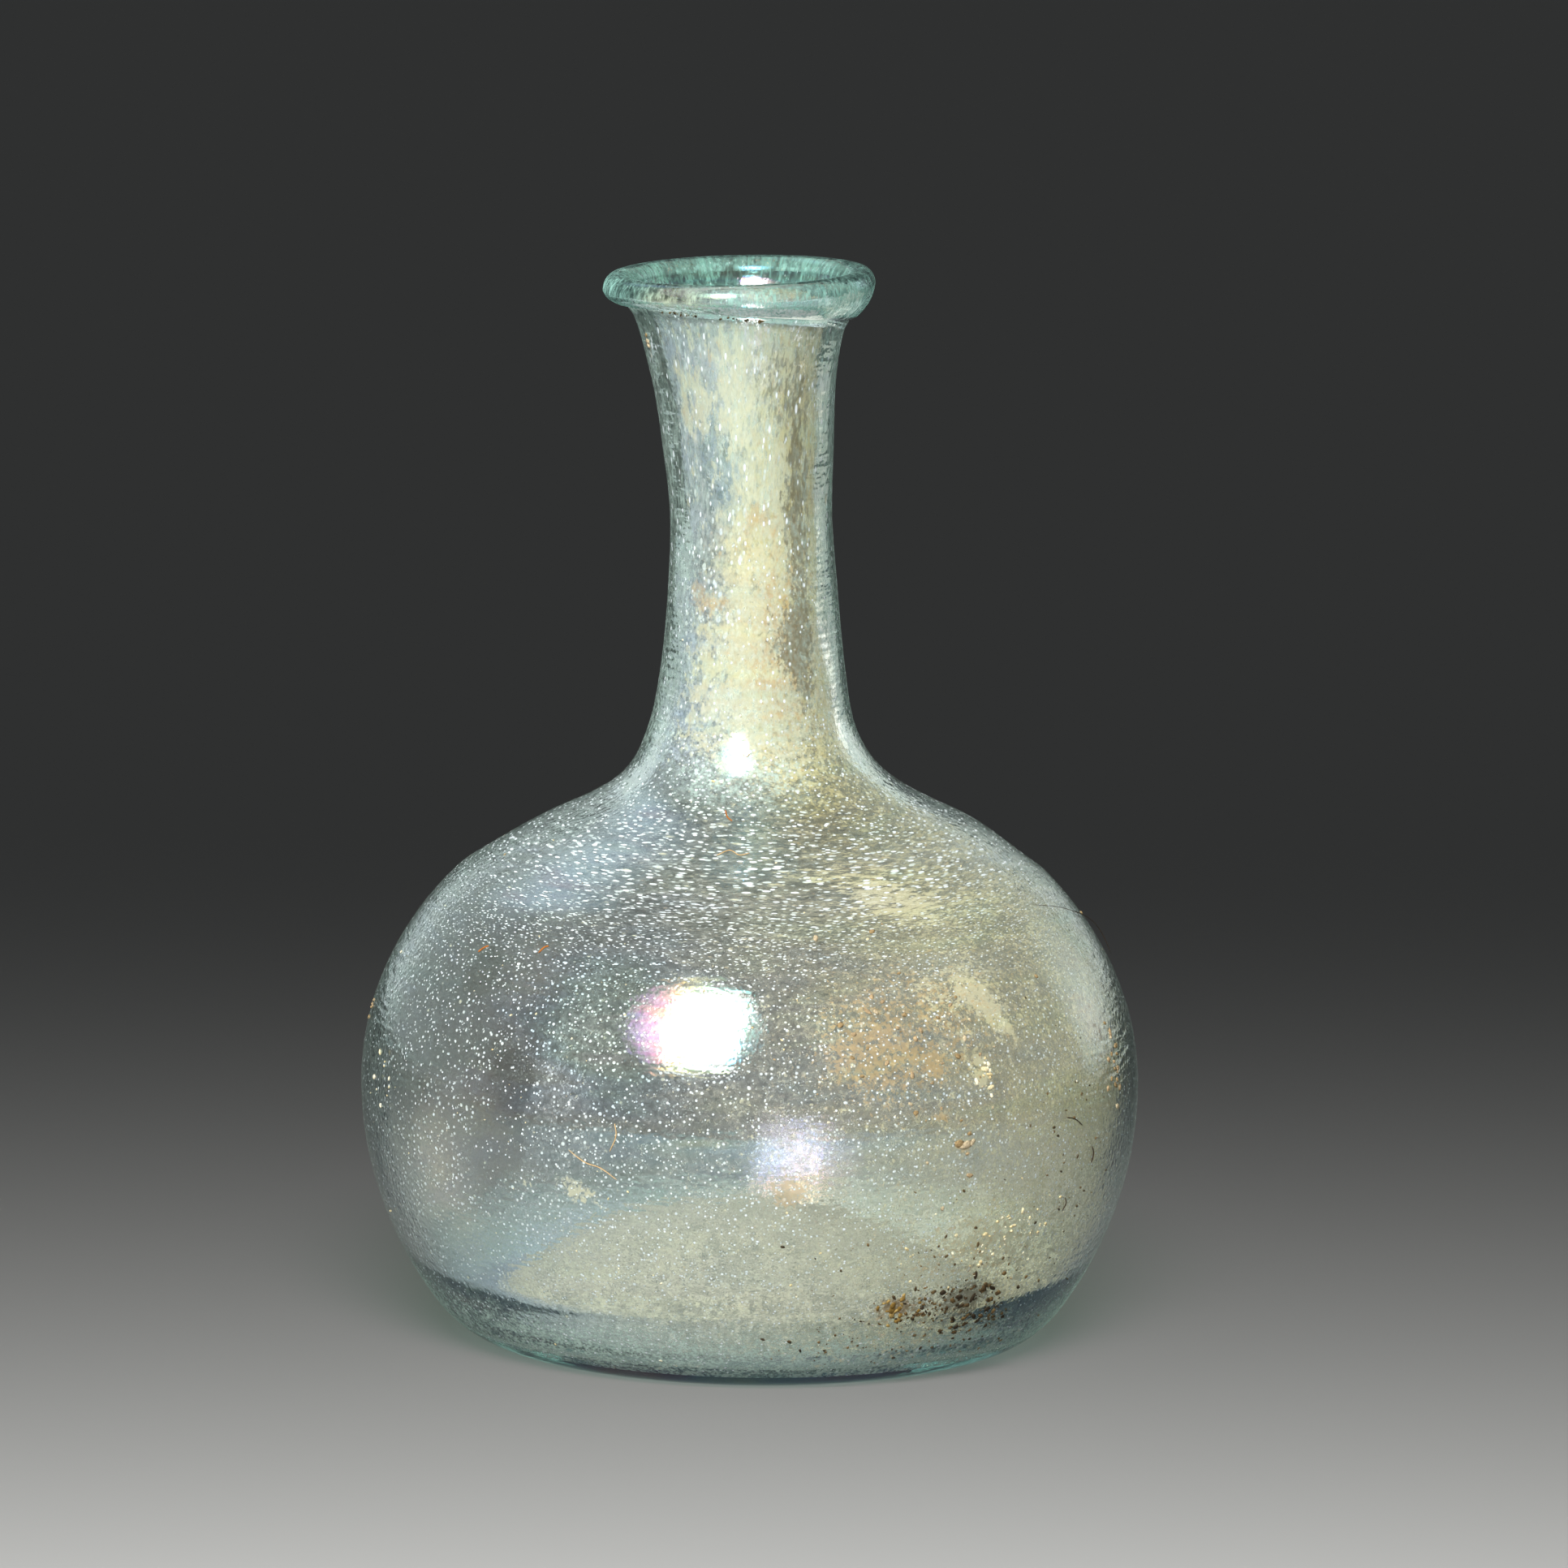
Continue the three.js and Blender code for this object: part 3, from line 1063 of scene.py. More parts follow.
@dataclass
class InsideFilm(Film):
    """The crust inside, from under the lip down the walls and over the domed floor."""

    bare_rows: int = 3  # rows of the lip that carry no crust

    def build(self, flask: Flask) -> bpy.types.Object:
        """Makes the inner crust.

        Args:
            flask: The glass, whose ripples it follows.

        Returns:
            The crust.
        """
        line = self.form.inside()
        ripple = flask.inner_fade(line)
        near = shifted(line, CRUST_GAP)
        far = shifted(line, CRUST_GAP + CRUST_THICKNESS)
        near[-1, 0] = far[-1, 0] = 0.0
        # The section runs down to the axis, and the shell is made from the axis up.
        seen, hidden = (self.form.turn(face, ripple)[: self.bare_rows - 1 : -1] for face in (far, near))
        chart = self.chart(line[self.bare_rows :])
        amounts = chart.layers(self.base(chart), self.patches)
        climbing = {kind: amount[::-1] for kind, amount in amounts.items()}
        return self.dress("weathering_inside", seen, hidden, chart.flipped(), climbing, inward=True)

    def base(self, chart: Chart) -> Amounts:
        """A milky floor and neck and a thinner body, all thicker and warmer towards the right.

        The far side of the mouth is nearly clear. The thick haze at the heel is painted light: a pale band
        that stands in for the glow of the thick heel glass.

        Args:
            chart: Chart of the crust.

        Returns:
            Amounts before the patches.
        """
        height = chart.height
        right = 0.5 + 0.5 * np.cos(chart.bearing + math.radians(15))
        floor = (1 - smoothstep(chart.radius, 21.5, 24.0)) * (1 - smoothstep(height, 11.5, 14.0))
        neck = smoothstep(height, 50, 57)
        shoulder = chart.around_height(46, 5.5)
        low = 1 - smoothstep(height, 5.0, 16.0)
        # The haze at the heel is painted light: a pale band for the glow of the thick heel glass.
        heel = 1 - smoothstep(height, 2.8, 8.0)
        mouth = smoothstep(height, 89.0, 92.0) * smoothstep(np.sin(chart.bearing), -0.2, 0.5)
        body = 0.01 + 0.31 * right + 0.07 * shoulder + 0.1 * low * right + 0.45 * heel
        haze = (body * (1 - neck) + neck * (0.55 + 0.15 * right)) * (1 - 0.85 * mouth)
        return {
            HAZE_AND_PAINTED_LIGHT: haze * (1 - floor) + 0.82 * floor,
            WARM: (0.05 + 0.85 * right) * (1 - floor) + 0.62 * floor,
            DOTS: 0.72 + 0.2 * shoulder - 0.1 * right - 0.3 * floor - 0.2 * mouth,
            CRUST: (0.08 + 0.22 * neck + 0.26 * right) * (1 - mouth),
            OCHRE: 0.06 + 0.2 * right + 0.12 * neck,
            UMBER: 0.05 + 0.22 * right,
        }


@dataclass
class RimFilm(Film):
    """The thin frosting on the rim roll, from the crease over the crest to the inner lip."""

    thickness: float = 0.015  # mm

    def build(self) -> bpy.types.Object:
        """Makes the rim's frosting and returns it."""
        line = self.form.roll()
        near = shifted(line, CRUST_GAP - RIM_INSET)[1:-1]
        far = shifted(line, CRUST_GAP - RIM_INSET + self.thickness)[1:-1]
        chart = self.chart(line[1:-1])
        amounts = chart.layers(self.base(chart), self.patches)
        return self.dress("weathering_rim", self.form.turn(far), self.form.turn(near), chart, amounts)

    def base(self, chart: Chart) -> Amounts:
        """Amounts before the patches: an even teal frost, thinner on the crest."""
        return {HAZE_AND_PAINTED_LIGHT: 0.36 - 0.18 * chart.around_height(self.form.height, 0.8), WARM: 0.1, DOTS: 0.22}


@dataclass(frozen=True)
class Cluster:
    """A seeded scatter of grains round one place on the outside.

    Attributes:
        bearing: Degrees round the axis of its middle.
        height: Height of its middle, in mm.
        wide: Spread round the vessel, in mm, as a standard deviation.
        tall: Spread up the vessel, in mm.
        count: Number of grains.
        sizes: Smallest and largest grain radius, in mm.
        shades: sRGB hex colours that the grains take.
    """

    bearing: float
    height: float
    wide: float
    tall: float
    count: int
    sizes: tuple[float, float]
    shades: tuple[str, ...]


@dataclass
class OutsidePlaces:
    """Finds places, normals and directions on the outside of the vessel."""

    form: VesselForm

    def at(self, bearing: np.ndarray, height: np.ndarray) -> tuple[np.ndarray, np.ndarray, np.ndarray]:
        """Places on the outer crust and the frame of the surface there.

        Args:
            bearing: Radians round the axis.
            height: Height in mm.

        Returns:
            Places, outward normals, and directions that run left round the vessel.
        """
        line = self.form.outside()
        line = line[line[:, 1] > 0.4]
        along = np.gradient(line, axis=0)
        along /= np.linalg.norm(along, axis=1, keepdims=True)
        radius, run, rise = (
            np.interp(height, line[:, 1], values) for values in (line[:, 0], along[:, 0], along[:, 1])
        )
        cos, sin = np.cos(bearing), np.sin(bearing)
        out = np.stack((cos * rise, sin * rise, -run), axis=-1)
        place = np.stack((radius * cos, radius * sin, height), axis=-1)
        left = np.stack((-sin, cos, np.zeros_like(bearing)), axis=-1)
        crust = CRUST_GAP + CRUST_THICKNESS - GLASS_INSET
        return self.form.hand_made(place) + out * crust, out, left


@dataclass
class EarthGrains:
    """Crumbs of burial earth, each a flattened pebble of 40 faces pressed into the crust."""

    form: VesselForm
    clusters: tuple[Cluster, ...]
    finish: DryMatter = field(default_factory=lambda: DryMatter("dried_burial_earth", 0.9))
    seed: int = 37
    reach: tuple[float, float] = (1.3, 94.2)  # mm: lowest and highest place of a grain
    grid: tuple[int, int] = (6, 8)  # rows and columns of a grain
    lumps: float = 0.25  # share of the radius
    longer: tuple[float, float] = (0.8, 1.5)  # its long half axis over its size
    shorter: tuple[float, float] = (0.6, 0.9)  # its short half axis over its size
    thickest: float = 0.11  # mm

    def build(self) -> bpy.types.Object:
        """Scatters the grains of every cluster, joins them into one piece and returns it."""
        rng = np.random.default_rng(self.seed)
        places = OutsidePlaces(self.form)
        line = self.form.outside()
        grids: list[np.ndarray] = []
        shades: list[str] = []
        for cluster in self.clusters:
            radius = float(np.interp(cluster.height, line[:, 1], line[:, 0]))
            bearing = math.radians(cluster.bearing) + rng.normal(0, cluster.wide / radius, cluster.count)
            height = cluster.height + rng.normal(0, cluster.tall, cluster.count)
            small, large = cluster.sizes
            sizes = small + (large - small) * rng.random(cluster.count) ** 2
            spots = places.at(bearing, np.clip(height, *self.reach))
            for place, out, left, size in zip(*spots, sizes):
                grids.append(self.pebble(place, out, left, float(size), rng))
                shades.append(cluster.shades[int(rng.integers(len(cluster.shades)))])
        return join_vessel(scattered_object("earth_grains", grids, shades), self.finish.material())

    def pebble(
        self, place: np.ndarray, out: np.ndarray, left: np.ndarray, size: float, rng: np.random.Generator
    ) -> np.ndarray:
        """A flattened ball with a lumpy radius: 1 plus up to a quarter at random, corner by corner.

        Args:
            place: Where it sits, in mm.
            out: Outward normal there.
            left: Direction round the vessel.
            size: Its radius, in mm.
            rng: Seeded source of its lumps.

        Returns:
            Its grid.
        """
        rows, columns = self.grid
        polar = np.linspace(math.pi, 0, rows)[:, None]
        around = np.linspace(0, 2 * math.pi, columns, endpoint=False)[None, :] + rng.uniform(0, math.pi)
        lump = 1 + rng.uniform(-self.lumps, self.lumps, self.grid)
        lump[0], lump[-1] = 1.0, 1.0
        across, along = size * rng.uniform(*self.longer), size * rng.uniform(*self.shorter)
        tall = min(0.5 * size, self.thickest)
        turn = rng.uniform(0, math.pi)
        first = left * math.cos(turn) + np.cross(out, left) * math.sin(turn)
        second = np.cross(out, first)
        flat = np.sin(polar) * lump
        return (
            place
            + (flat * np.cos(around) * across)[..., None] * first
            + (flat * np.sin(around) * along)[..., None] * second
            + (np.cos(polar) * tall * np.ones_like(around))[..., None] * out
        )


@dataclass(frozen=True)
class Fibre:
    """One dry rootlet or hair.

    Attributes:
        course: Its (bearing in degrees, height in mm, stand-off in mm) points.
        radius: Its radius, in mm.
        shade: Its sRGB hex colour.
    """

    course: tuple[tuple[float, float, float], ...]
    radius: float
    shade: str


@dataclass
class RootFibres:
    """Dry rootlets and a hair that cling to the outside, each a thin tapered tube."""

    form: VesselForm
    fibres: tuple[Fibre, ...]
    finish: DryMatter = field(default_factory=lambda: DryMatter("dry_rootlets", 0.6, 0.2))
    sides: int = 6
    steps: int = 8  # rings on each span of a course

    def build(self) -> bpy.types.Object:
        """Makes the fibres, joins them into one piece and returns it."""
        grids = [self.tube(fibre) for fibre in self.fibres]
        shades = [fibre.shade for fibre in self.fibres]
        return join_vessel(scattered_object("root_fibres", grids, shades), self.finish.material())

    def tube(self, fibre: Fibre) -> np.ndarray:
        """A tube along the smoothed course.

        Its radius is scaled by the root of one less the eighth power of the share of the way from
        its middle to an end, so that both ends close.

        Args:
            fibre: The fibre.

        Returns:
            Its grid, a ring to each row.
        """
        bearing, height, off = catmull_rom(np.array(fibre.course), self.steps).T
        base, out, _ = OutsidePlaces(self.form).at(np.radians(bearing), height)
        spine = base + out * (off + fibre.radius * 0.8)[:, None]
        ahead = np.gradient(spine, axis=0)
        ahead /= np.linalg.norm(ahead, axis=1, keepdims=True)
        side = np.cross(out, ahead)
        side /= np.linalg.norm(side, axis=1, keepdims=True)
        top = np.cross(ahead, side)
        radius = fibre.radius * np.sqrt(np.clip(1 - np.linspace(-1, 1, len(spine)) ** 8, 0, 1))
        angle = np.linspace(0, 2 * math.pi, self.sides, endpoint=False)[None, :, None]
        ring = np.cos(angle) * side[:, None] + np.sin(angle) * top[:, None]
        return spine[:, None] + ring * radius[:, None, None]


# --- Studio ---


def placed(
    item: bpy.types.Object, right: np.ndarray, up: np.ndarray, back: np.ndarray, place: np.ndarray
) -> None:
    """Links a lamp or a camera to the scene and turns it.

    Args:
        item: The lamp or camera, which faces away from its back.
        right: Direction of its x axis.
        up: Direction of its y axis.
        back: Direction of its z axis.
        place: Where it stands, in metres.
    """
    rows = [[right[k], up[k], back[k], place[k]] for k in range(3)]
    item.matrix_world = Matrix([*rows, [0, 0, 0, 1]])
    bpy.context.scene.collection.objects.link(item)


@dataclass(frozen=True)
class Softbox:
    """A soft lamp aimed at the vessel.

    Attributes:
        name: Name of the lamp.
        bearing: Degrees round the vessel.
        elevation: Degrees above the floor.
        distance: Metres from the vessel.
        size: Width and height in metres.
        power: Watts.
        colour: sRGB hex.
        spread: Degrees that its light spreads.
        aim: Place that it faces.
        on_floor: True for the lamp that lights the floor, false for those that light the vessel.
        mirrored: False for a lamp that the glass bends but doesn't mirror.
    """

    name: str
    bearing: float
    elevation: float
    distance: float
    size: tuple[float, float]
    power: float
    colour: str
    spread: float = 40.0
    aim: tuple[float, float, float] = (0.0, 0.0, 0.04)
    on_floor: bool = False
    mirrored: bool = True

    def build(self, vessel: bpy.types.Collection, ground: bpy.types.Collection) -> None:
        """Makes the lamp, turned to its aim.

        Args:
            vessel: What the studio lamps light.
            ground: What the floor's lamp lights.
        """
        light = bpy.data.lights.new(self.name, "AREA")
        light.shape = "RECTANGLE"
        light.size, light.size_y = self.size
        light.energy = self.power
        light.color = linear(self.colour)[:3]
        light.spread = math.radians(self.spread)
        lamp = bpy.data.objects.new(self.name, light)
        around, up = math.radians(self.bearing), math.radians(self.elevation)
        away = np.array([math.cos(around) * math.cos(up), math.sin(around) * math.cos(up), math.sin(up)])
        side = np.array([-math.sin(around), math.cos(around), 0.0])
        placed(lamp, side, np.cross(away, side), away, np.array(self.aim) + away * self.distance)
        lamp.visible_camera = False
        lamp.visible_glossy = self.mirrored
        lamp.light_linking.receiver_collection = ground if self.on_floor else vessel


@dataclass(frozen=True)
class Studio:
    """Floor, lamps, ambient light and camera.

    Attributes:
        lamps: The soft lamps.
        floor_colour: sRGB hex of the floor.
        ambient: Strength of the even light from all round.
        walls: Its strength where the glass bends the view to the studio's pale walls.
        lens: Focal length in mm, on a sensor 36 mm wide.
        eye: Place of the camera.
        pitch: Degrees that it looks down.
        yaw: Degrees that it looks to the right.
        roll: Degrees that it leans.
    """

    lamps: tuple[Softbox, ...]
    floor_colour: str = "#C6C6C3"
    ambient: float = 0.06
    walls: float = 0.6
    lens: float = 250.0
    eye: tuple[float, float, float] = (0.0, -0.9857, 0.2203)
    pitch: float = 9.755
    yaw: float = 0.158
    roll: float = 0.934

    def build(self, pieces: list[bpy.types.Object]) -> None:
        """Sets up the studio.

        Args:
            pieces: The vessel's pieces, which the studio lamps light.
        """
        vessel = bpy.data.collections.new("lit_by_studio_lamps")
        ground = bpy.data.collections.new("lit_by_floor_wash")
        for piece in pieces:
            vessel.objects.link(piece)
        ground.objects.link(self.floor())
        for lamp in self.lamps:
            lamp.build(vessel, ground)
        self.world()
        self.camera()

    def floor(self) -> bpy.types.Object:
        """Makes a plain pale floor, a flat grid 6 m square a hair under the base ring, and returns it."""
        x, y = np.meshgrid(*[np.linspace(-3.0, 3.0, 25)] * 2)
        places = np.column_stack((x.ravel(), y.ravel(), np.full(x.size, -0.00002)))
        index = np.arange(x.size).reshape(x.shape)
        quads = np.stack((index[:-1, :-1], index[:-1, 1:], index[1:, 1:], index[1:, :-1]), -1)
        mesh = bpy.data.meshes.new("floor")
        mesh.from_pydata(places.tolist(), [], quads.reshape(-1, 4).tolist())
        floor = bpy.data.objects.new("floor", mesh)
        bpy.context.scene.collection.objects.link(floor)
        mesh.materials.append(self.paper())
        return floor

    def paper(self) -> bpy.types.Material:
        """Builds matt paper and returns it: pale and without shine, with a tooth of 1 mm."""
        material, tree = new_material("matt_paper_backdrop")
        node = partial(add_node, tree)
        place = node("TexCoord", output="Object")
        tooth = node("TexNoise", {"Vector": place, "Scale": 900.0, "Detail": 2.0})
        bump = node("Bump", {"Strength": 0.1, "Distance": 0.0001, "Height": tooth})
        matt = {"Base Color": linear(self.floor_colour), "Roughness": 0.85, "Specular IOR Level": 0.2}
        node("OutputMaterial", {"Surface": node("BsdfPrincipled", {**matt, "Normal": bump})})
        return material

    def world(self) -> None:
        """Dim even light from all round, brighter where it is seen through the glass."""
        world = bpy.data.worlds.new("studio_air")
        world.use_nodes = True
        tree = world.node_tree
        tree.nodes.clear()
        air = add_node(tree, "Background", {"Color": linear("#E9EDF0"), "Strength": self.ambient})
        walls = add_node(tree, "Background", {"Color": linear("#DDE8E8"), "Strength": self.walls})
        crossing = add_node(tree, "LightPath", output="Is Transmission Ray")
        both = add_node(tree, "MixShader", {0: crossing, 1: air, 2: walls})
        add_node(tree, "OutputWorld", {"Surface": both})
        bpy.context.scene.world = world

    def camera(self) -> None:
        """A long lens a metre away, looking a little down on the vessel."""
        data = bpy.data.cameras.new("view")
        data.lens, data.sensor_width = self.lens, 36.0
        data.clip_start, data.clip_end = 0.01, 20.0
        pitch, yaw, roll = (math.radians(a) for a in (self.pitch, self.yaw, self.roll))
        level = math.cos(pitch)
        ahead = np.array([math.sin(yaw) * level, math.cos(yaw) * level, -math.sin(pitch)])
        side = np.array([math.cos(yaw), -math.sin(yaw), 0.0])
        top = np.cross(side, ahead)
        right = side * math.cos(roll) + top * math.sin(roll)
        camera = bpy.data.objects.new("view", data)
        placed(camera, right, top * math.cos(roll) - side * math.sin(roll), -ahead, np.array(self.eye))
        bpy.context.scene.camera = camera


def set_up_light_paths() -> None:
    """Allows enough bounces for a ray to cross both walls and their crusts, and plain colour."""
    scene = bpy.context.scene
    bounces = {"max": 14, "transmission": 12, "glossy": 4, "diffuse": 2, "transparent_max": 40}
    for kind, most in bounces.items():
        setattr(scene.cycles, kind + "_bounces", most)
    scene.cycles.caustics_reflective = False
    scene.cycles.caustics_refractive = False
    scene.view_settings.view_transform = "Standard"
    scene.view_settings.look = "None"


# --- What lies where ---

INSIDE_PATCHES = (
    # Neck: cream streaks, clear bands and dark runs of earth, from the left edge to the right.
    Patch(CRUST, -139, 87.7, 0.9, 4.0, 0.6),
    Patch(CRUST, -123, 87.0, 0.8, 3.2, 0.6),
    Patch(CRUST, -99, 88.5, 1.6, 5.5, 0.5),
    Patch(CLEAR, -121, 82.5, 1.7, 7.5, 0.5),
    Patch(CLEAR, -108, 80.0, 0.8, 5.0, 0.35),
    Patch(CLEAR, -128, 73.0, 1.5, 5.0, 0.3),
    Patch(HAZE_AND_PAINTED_LIGHT, -68, 70.0, 4.2, 17.0, 0.3),
    Patch(WARM, -66, 68.0, 6.0, 22.0, 0.5),
    Patch(CRUST, -72, 66.0, 3.5, 14.0, 0.35),
    Patch(CRUST, -110, 60.0, 4.5, 9.0, 0.4),
    Patch(DOTS, -105, 62.0, 5.0, 14.0, 0.3),
    Patch(OCHRE, -84, 77.0, 1.4, 1.3, 0.6),
    Patch(OCHRE, -122, 68.5, 1.3, 0.8, 0.7),
    Patch(OCHRE, -140, 69.6, 1.0, 1.6, 0.6),
    Patch(OCHRE, -70, 64.0, 2.5, 8.0, 0.35),
    Patch(UMBER, -48, 77.0, 1.5, 9.0, 0.62),
    Patch(UMBER, -50, 64.0, 1.4, 6.0, 0.62),
    Patch(UMBER, -64, 65.0, 1.8, 3.0, 0.5),
    Patch(UMBER, -60, 88.0, 3.0, 4.5, 0.4),
    # Shoulder.
    Patch(CRUST, -57, 43.5, 5.5, 2.6, 0.55, 12),
    Patch(CRUST, -68, 45.5, 5.0, 1.6, 0.3),
    Patch(HAZE_AND_PAINTED_LIGHT, -40, 42.0, 14.0, 7.0, 0.12),
    # Body, left: clear glass with milky borders, and a cream scab.
    Patch(CLEAR, -131, 23.0, 4.0, 8.0, 0.6, 12),
    Patch(CLEAR, -141, 36.0, 2.6, 4.5, 0.5),
    Patch(CLEAR, -138, 12.5, 3.5, 3.5, 0.6, 30),
    Patch(CLEAR, -128, 28.5, 2.4, 2.5, 0.4),
    Patch(HAZE_AND_PAINTED_LIGHT, -119, 27.0, 3.0, 9.0, 0.16),
    Patch(HAZE_AND_PAINTED_LIGHT, -122, 15.0, 7.0, 3.0, 0.14, 20),
    Patch(CRUST, -116.5, 19.1, 2.2, 0.9, 0.8, 10),
    Patch(CRUST, -125.2, 19.0, 0.6, 0.5, 0.8),
    # Body, right: a field of ochre, cream scabs and earth.
    Patch(OCHRE, -63, 33.5, 9.0, 6.0, 0.34),
    Patch(OCHRE, -72, 31.0, 5.0, 5.0, 0.3),
    Patch(OCHRE, -60.5, 25.6, 0.7, 0.7, 0.8),
    Patch(OCHRE, -56.4, 22.8, 0.6, 0.6, 0.8),
    Patch(OCHRE, -60.7, 30.4, 0.8, 0.9, 0.8),
    Patch(CRUST, -52.7, 29.6, 0.9, 1.6, 0.85),
    Patch(CRUST, -48.0, 34.2, 1.2, 3.4, 0.6, -30),
    Patch(CRUST, -54.0, 36.0, 5.0, 3.5, 0.35),
    Patch(OCHRE, -84.0, 19.4, 2.2, 1.6, 0.65),
    Patch(HAZE_AND_PAINTED_LIGHT, -30, 24.0, 9.0, 14.0, 0.12),
    # Low on the right.
    Patch(CRUST, -50, 14.0, 6.0, 2.2, 0.45, 14),
    Patch(OCHRE, -52, 13.0, 9.0, 4.0, 0.3),
    # Behind, plainer: it shows through the glass.
    Patch(CLEAR, 137, 18.0, 9.0, 9.0, 0.4),
    Patch(CRUST, 60, 30.0, 6.0, 4.0, 0.4),
    Patch(OCHRE, 75, 24.0, 7.0, 4.0, 0.35),
    Patch(CRUST, 110, 44.0, 5.0, 2.5, 0.4),
    Patch(UMBER, 40, 10.0, 7.0, 4.0, 0.4),
    Patch(CRUST, 100, 70.0, 2.0, 9.0, 0.4),
    Patch(OCHRE, 60, 66.0, 2.5, 8.0, 0.4),
    # In the mouth.
    Patch(HAZE_AND_PAINTED_LIGHT, 62, 93.4, 4.5, 1.8, 0.6),
    Patch(DOTS, 58, 93.6, 6.0, 2.4, 0.5),
)

OUTSIDE_PATCHES = (
    # A frosted place at the root of the neck, laid where the key's mirror image falls: partly frost, partly
    # a painted highlight.
    Patch(HAZE_AND_PAINTED_LIGHT, -98, 52.5, 6.0, 3.5, 0.3),
    # Earth caught under the rim roll.
    Patch(UMBER, -121, 94.2, 2.0, 0.6, 0.75),
    Patch(UMBER, -87, 94.0, 2.4, 0.6, 0.6),
    Patch(OCHRE, -160, 91.5, 0.9, 1.2, 0.7),
    # Burial earth low on the right, with a yellow-brown heart.
    Patch(UMBER, -53, 8.2, 3.4, 2.0, 0.7),
    Patch(UMBER, -66, 8.0, 3.4, 1.6, 0.6),
    Patch(OCHRE, -66, 8.2, 2.0, 1.2, 0.7),
    Patch(OCHRE, -58, 6.5, 14.0, 4.0, 0.42),
    Patch(CRUST, -62, 3.5, 16.0, 2.6, 0.4),
    Patch(UMBER, -50, 12.0, 12.0, 7.0, 0.3),
    Patch(CRUST, -48.0, 34.2, 0.8, 2.4, 0.5, -30),
    Patch(CRUST, -16.0, 28.5, 0.8, 1.6, 0.5),
)

RIM_PATCHES = (
    Patch(WARM, -118, 96.5, 4.0, 2.0, 0.7),
    Patch(HAZE_AND_PAINTED_LIGHT, -95, 96.0, 8.0, 2.0, 0.12),
    Patch(HAZE_AND_PAINTED_LIGHT, -172, 96.3, 7.0, 3.0, 0.3),
    Patch(UMBER, -100, 94.6, 5.0, 0.5, 0.5),
)

# Earth: damp brown, yellow-brown, cream and tan.
BROWN = ("#4A3D2A", "#5A4A32", "#6A5638", "#3B3226")
GOLD = ("#8F7440", "#7A6130", "#A48B55")
CREAM = ("#E3D6AE", "#D9C79A", "#EFE7CC")
TAN = ("#A89272", "#BBAB8E", "#98825E")

CLUSTERS = (
    Cluster(-50.0, 8.8, 2.6, 1.1, 52, (0.1, 0.36), BROWN),
    Cluster(-48.5, 5.9, 1.7, 0.7, 44, (0.08, 0.34), BROWN),
    Cluster(-57.5, 8.4, 2.4, 0.9, 56, (0.07, 0.26), BROWN),
    Cluster(-65.5, 8.0, 1.2, 0.7, 20, (0.16, 0.42), GOLD),
    Cluster(-62.0, 7.3, 2.6, 0.6, 34, (0.08, 0.26), BROWN),
    Cluster(-62.0, 4.6, 7.0, 1.2, 90, (0.06, 0.2), BROWN),
    Cluster(-60.0, 11.0, 8.0, 4.0, 80, (0.06, 0.18), BROWN),
    Cluster(-33.0, 18.0, 3.4, 6.0, 60, (0.06, 0.17), BROWN),
    Cluster(-54.0, 13.0, 3.4, 1.2, 34, (0.07, 0.24), CREAM),
    Cluster(-45.0, 15.0, 2.4, 1.0, 34, (0.07, 0.24), CREAM),
    Cluster(-63.0, 33.0, 5.0, 3.4, 60, (0.1, 0.34), TAN),
    Cluster(-58.0, 24.5, 3.0, 3.0, 14, (0.1, 0.5), TAN),
    Cluster(-52.7, 29.6, 0.5, 0.9, 12, (0.16, 0.4), CREAM),
    Cluster(-19.0, 28.6, 0.6, 1.5, 10, (0.2, 0.45), TAN),
    Cluster(-22.0, 26.3, 0.8, 1.0, 8, (0.15, 0.35), TAN),
    Cluster(-178.0, 29.5, 0.6, 0.9, 5, (0.15, 0.35), TAN),
    Cluster(-160.0, 25.0, 1.6, 1.6, 8, (0.1, 0.3), CREAM),
    Cluster(-121.0, 94.0, 1.0, 0.1, 22, (0.06, 0.16), BROWN),
    Cluster(-88.0, 93.9, 1.2, 0.1, 22, (0.06, 0.16), BROWN),
    Cluster(-160.0, 91.6, 0.25, 0.3, 5, (0.2, 0.35), TAN),
    Cluster(-100.0, 30.0, 26.0, 13.0, 150, (0.04, 0.14), CREAM),
    Cluster(90.0, 26.0, 30.0, 12.0, 120, (0.05, 0.2), CREAM + TAN),
    Cluster(60.0, 10.0, 9.0, 3.0, 50, (0.06, 0.26), BROWN),
)

ORANGE, STRAW, DARK = "#A9682F", "#C9A878", "#3E3022"

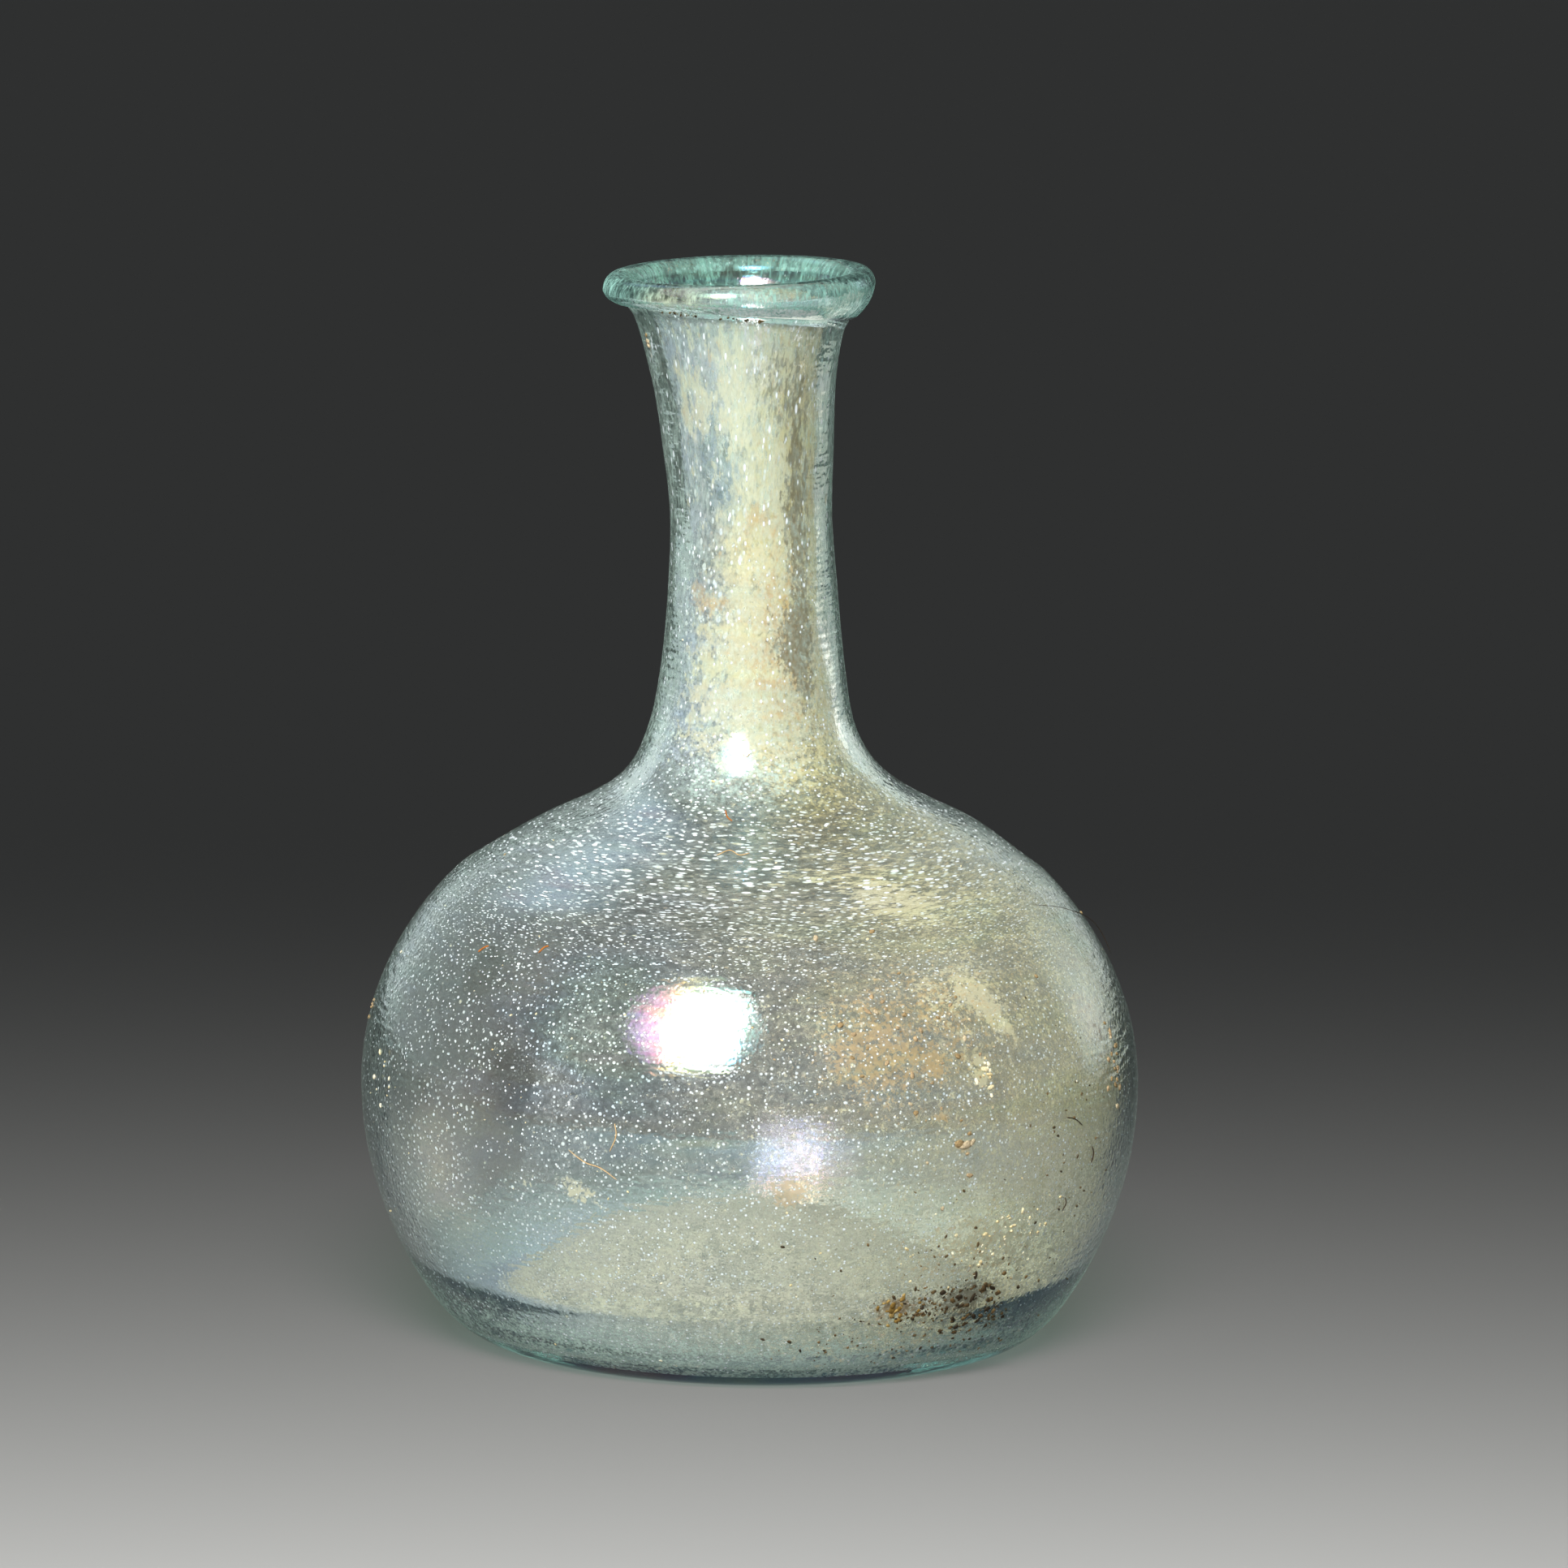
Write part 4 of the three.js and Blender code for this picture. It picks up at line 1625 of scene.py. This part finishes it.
# Courses are (bearing in degrees, height in mm, stand-off in mm).
FIBRES = (
    Fibre(((-102.6, 50.7, 0.0), (-101.5, 50.2, 0.03), (-99.4, 49.9, 0.0)), 0.07, ORANGE),
    Fibre(
        ((-101.9, 47.5, 0.0), (-98.5, 47.9, 0.05), (-95.5, 47.6, 0.05), (-92.8, 47.8, 0.0)), 0.05, STRAW
    ),
    Fibre(((-129.3, 39.1, 0.0), (-128.6, 39.6, 0.02), (-127.8, 39.8, 0.0)), 0.08, ORANGE),
    Fibre(((-143.0, 38.2, 0.0), (-142.2, 38.6, 0.02), (-141.2, 38.9, 0.0)), 0.08, ORANGE),
    Fibre(
        ((-116.8, 22.9, 0.0), (-114.0, 21.9, 0.06), (-111.6, 21.5, 0.02), (-109.0, 20.5, 0.0)), 0.05, STRAW
    ),
    Fibre(((-109.6, 25.7, 0.0), (-109.3, 24.6, 0.04), (-110.3, 23.0, 0.0)), 0.05, STRAW),
    Fibre(((-36.8, 24.4, 0.0), (-34.6, 24.0, 0.03), (-32.6, 23.2, 0.0)), 0.06, DARK),
    Fibre(((-29.5, 21.0, 0.0), (-28.9, 20.2, 0.02), (-29.3, 19.4, 0.0)), 0.06, DARK),
    Fibre(((-35.5, 16.8, 0.0), (-35.0, 16.2, 0.02), (-35.6, 15.5, 0.0)), 0.05, DARK),
    Fibre(((-96.0, 55.5, 0.0), (-93.5, 55.0, 0.02), (-91.0, 55.4, 0.0)), 0.05, STRAW),
    Fibre(((-24.0, 42.0, 0.1), (-15.0, 40.6, 0.7), (-6.0, 38.2, 1.0), (-2.0, 35.4, 0.5)), 0.03, DARK),
)

# The key has a small bright core in a wide dim surround, so that its mirror image in the body is not
# cut out in white. Two lamps stand behind, and two panels light the vessel's edges from within.
LAMPS = (
    Softbox("key_core", -106.0, 38.0, 0.6, (0.22, 0.32), 0.36, "#FFFDF8"),
    Softbox("key_surround", -111.0, 40.0, 0.62, (0.56, 0.56), 0.56, "#FFFDF8"),
    Softbox("left_rear", 124.0, 44.0, 0.75, (0.6, 0.5), 0.06, "#F2F2F0"),
    Softbox("right_rear", 40.0, 9.0, 0.75, (0.36, 0.5), 0.026, "#FFF4E2"),
    Softbox("left_panel", 142.0, 24.0, 0.34, (0.54, 0.4), 0.5, "#D9EBEC", 180.0, mirrored=False),
    Softbox("right_panel", 38.0, 24.0, 0.34, (0.54, 0.4), 0.5, "#E2EBDF", 180.0, mirrored=False),
    Softbox("floor_wash", -90.0, 62.0, 0.5, (0.5, 0.2), 1.1, "#FFFFFF", 54.0, (0.0, -0.27, 0.0), True),
)


def main() -> None:
    """Builds the vessel and its studio."""
    logging.basicConfig(level=logging.INFO, format="%(name)s %(message)s")
    form = VesselForm()
    flask = Flask(form)
    # Outside, the haze's cool shade is teal. On the heel and the edge-on sides that haze is painted light
    # for the glow of thick glass.
    outside = WeatheringCrust("leached_silica_crust_outside", haze_cool="#A3C4C6", haze_warm="#C6C8A8")
    inside = WeatheringCrust("leached_silica_crust_inside", passing="#F4F4F1")
    rim = WeatheringCrust(
        "frosted_skin_of_the_rim", haze_cool="#8CC4BC", haze_warm="#C6CDB0", spot_mm=0.45, passing="#F2F8F6"
    )
    pieces = [
        flask.build(),
        OutsideFilm(form, outside, OUTSIDE_PATCHES).build(),
        InsideFilm(form, inside, INSIDE_PATCHES).build(flask),
        RimFilm(form, rim, RIM_PATCHES).build(),
        EarthGrains(form, CLUSTERS).build(),
        RootFibres(form, FIBRES).build(),
    ]
    Studio(LAMPS).build(pieces)
    set_up_light_paths()


if __name__ == "__main__":
    main()
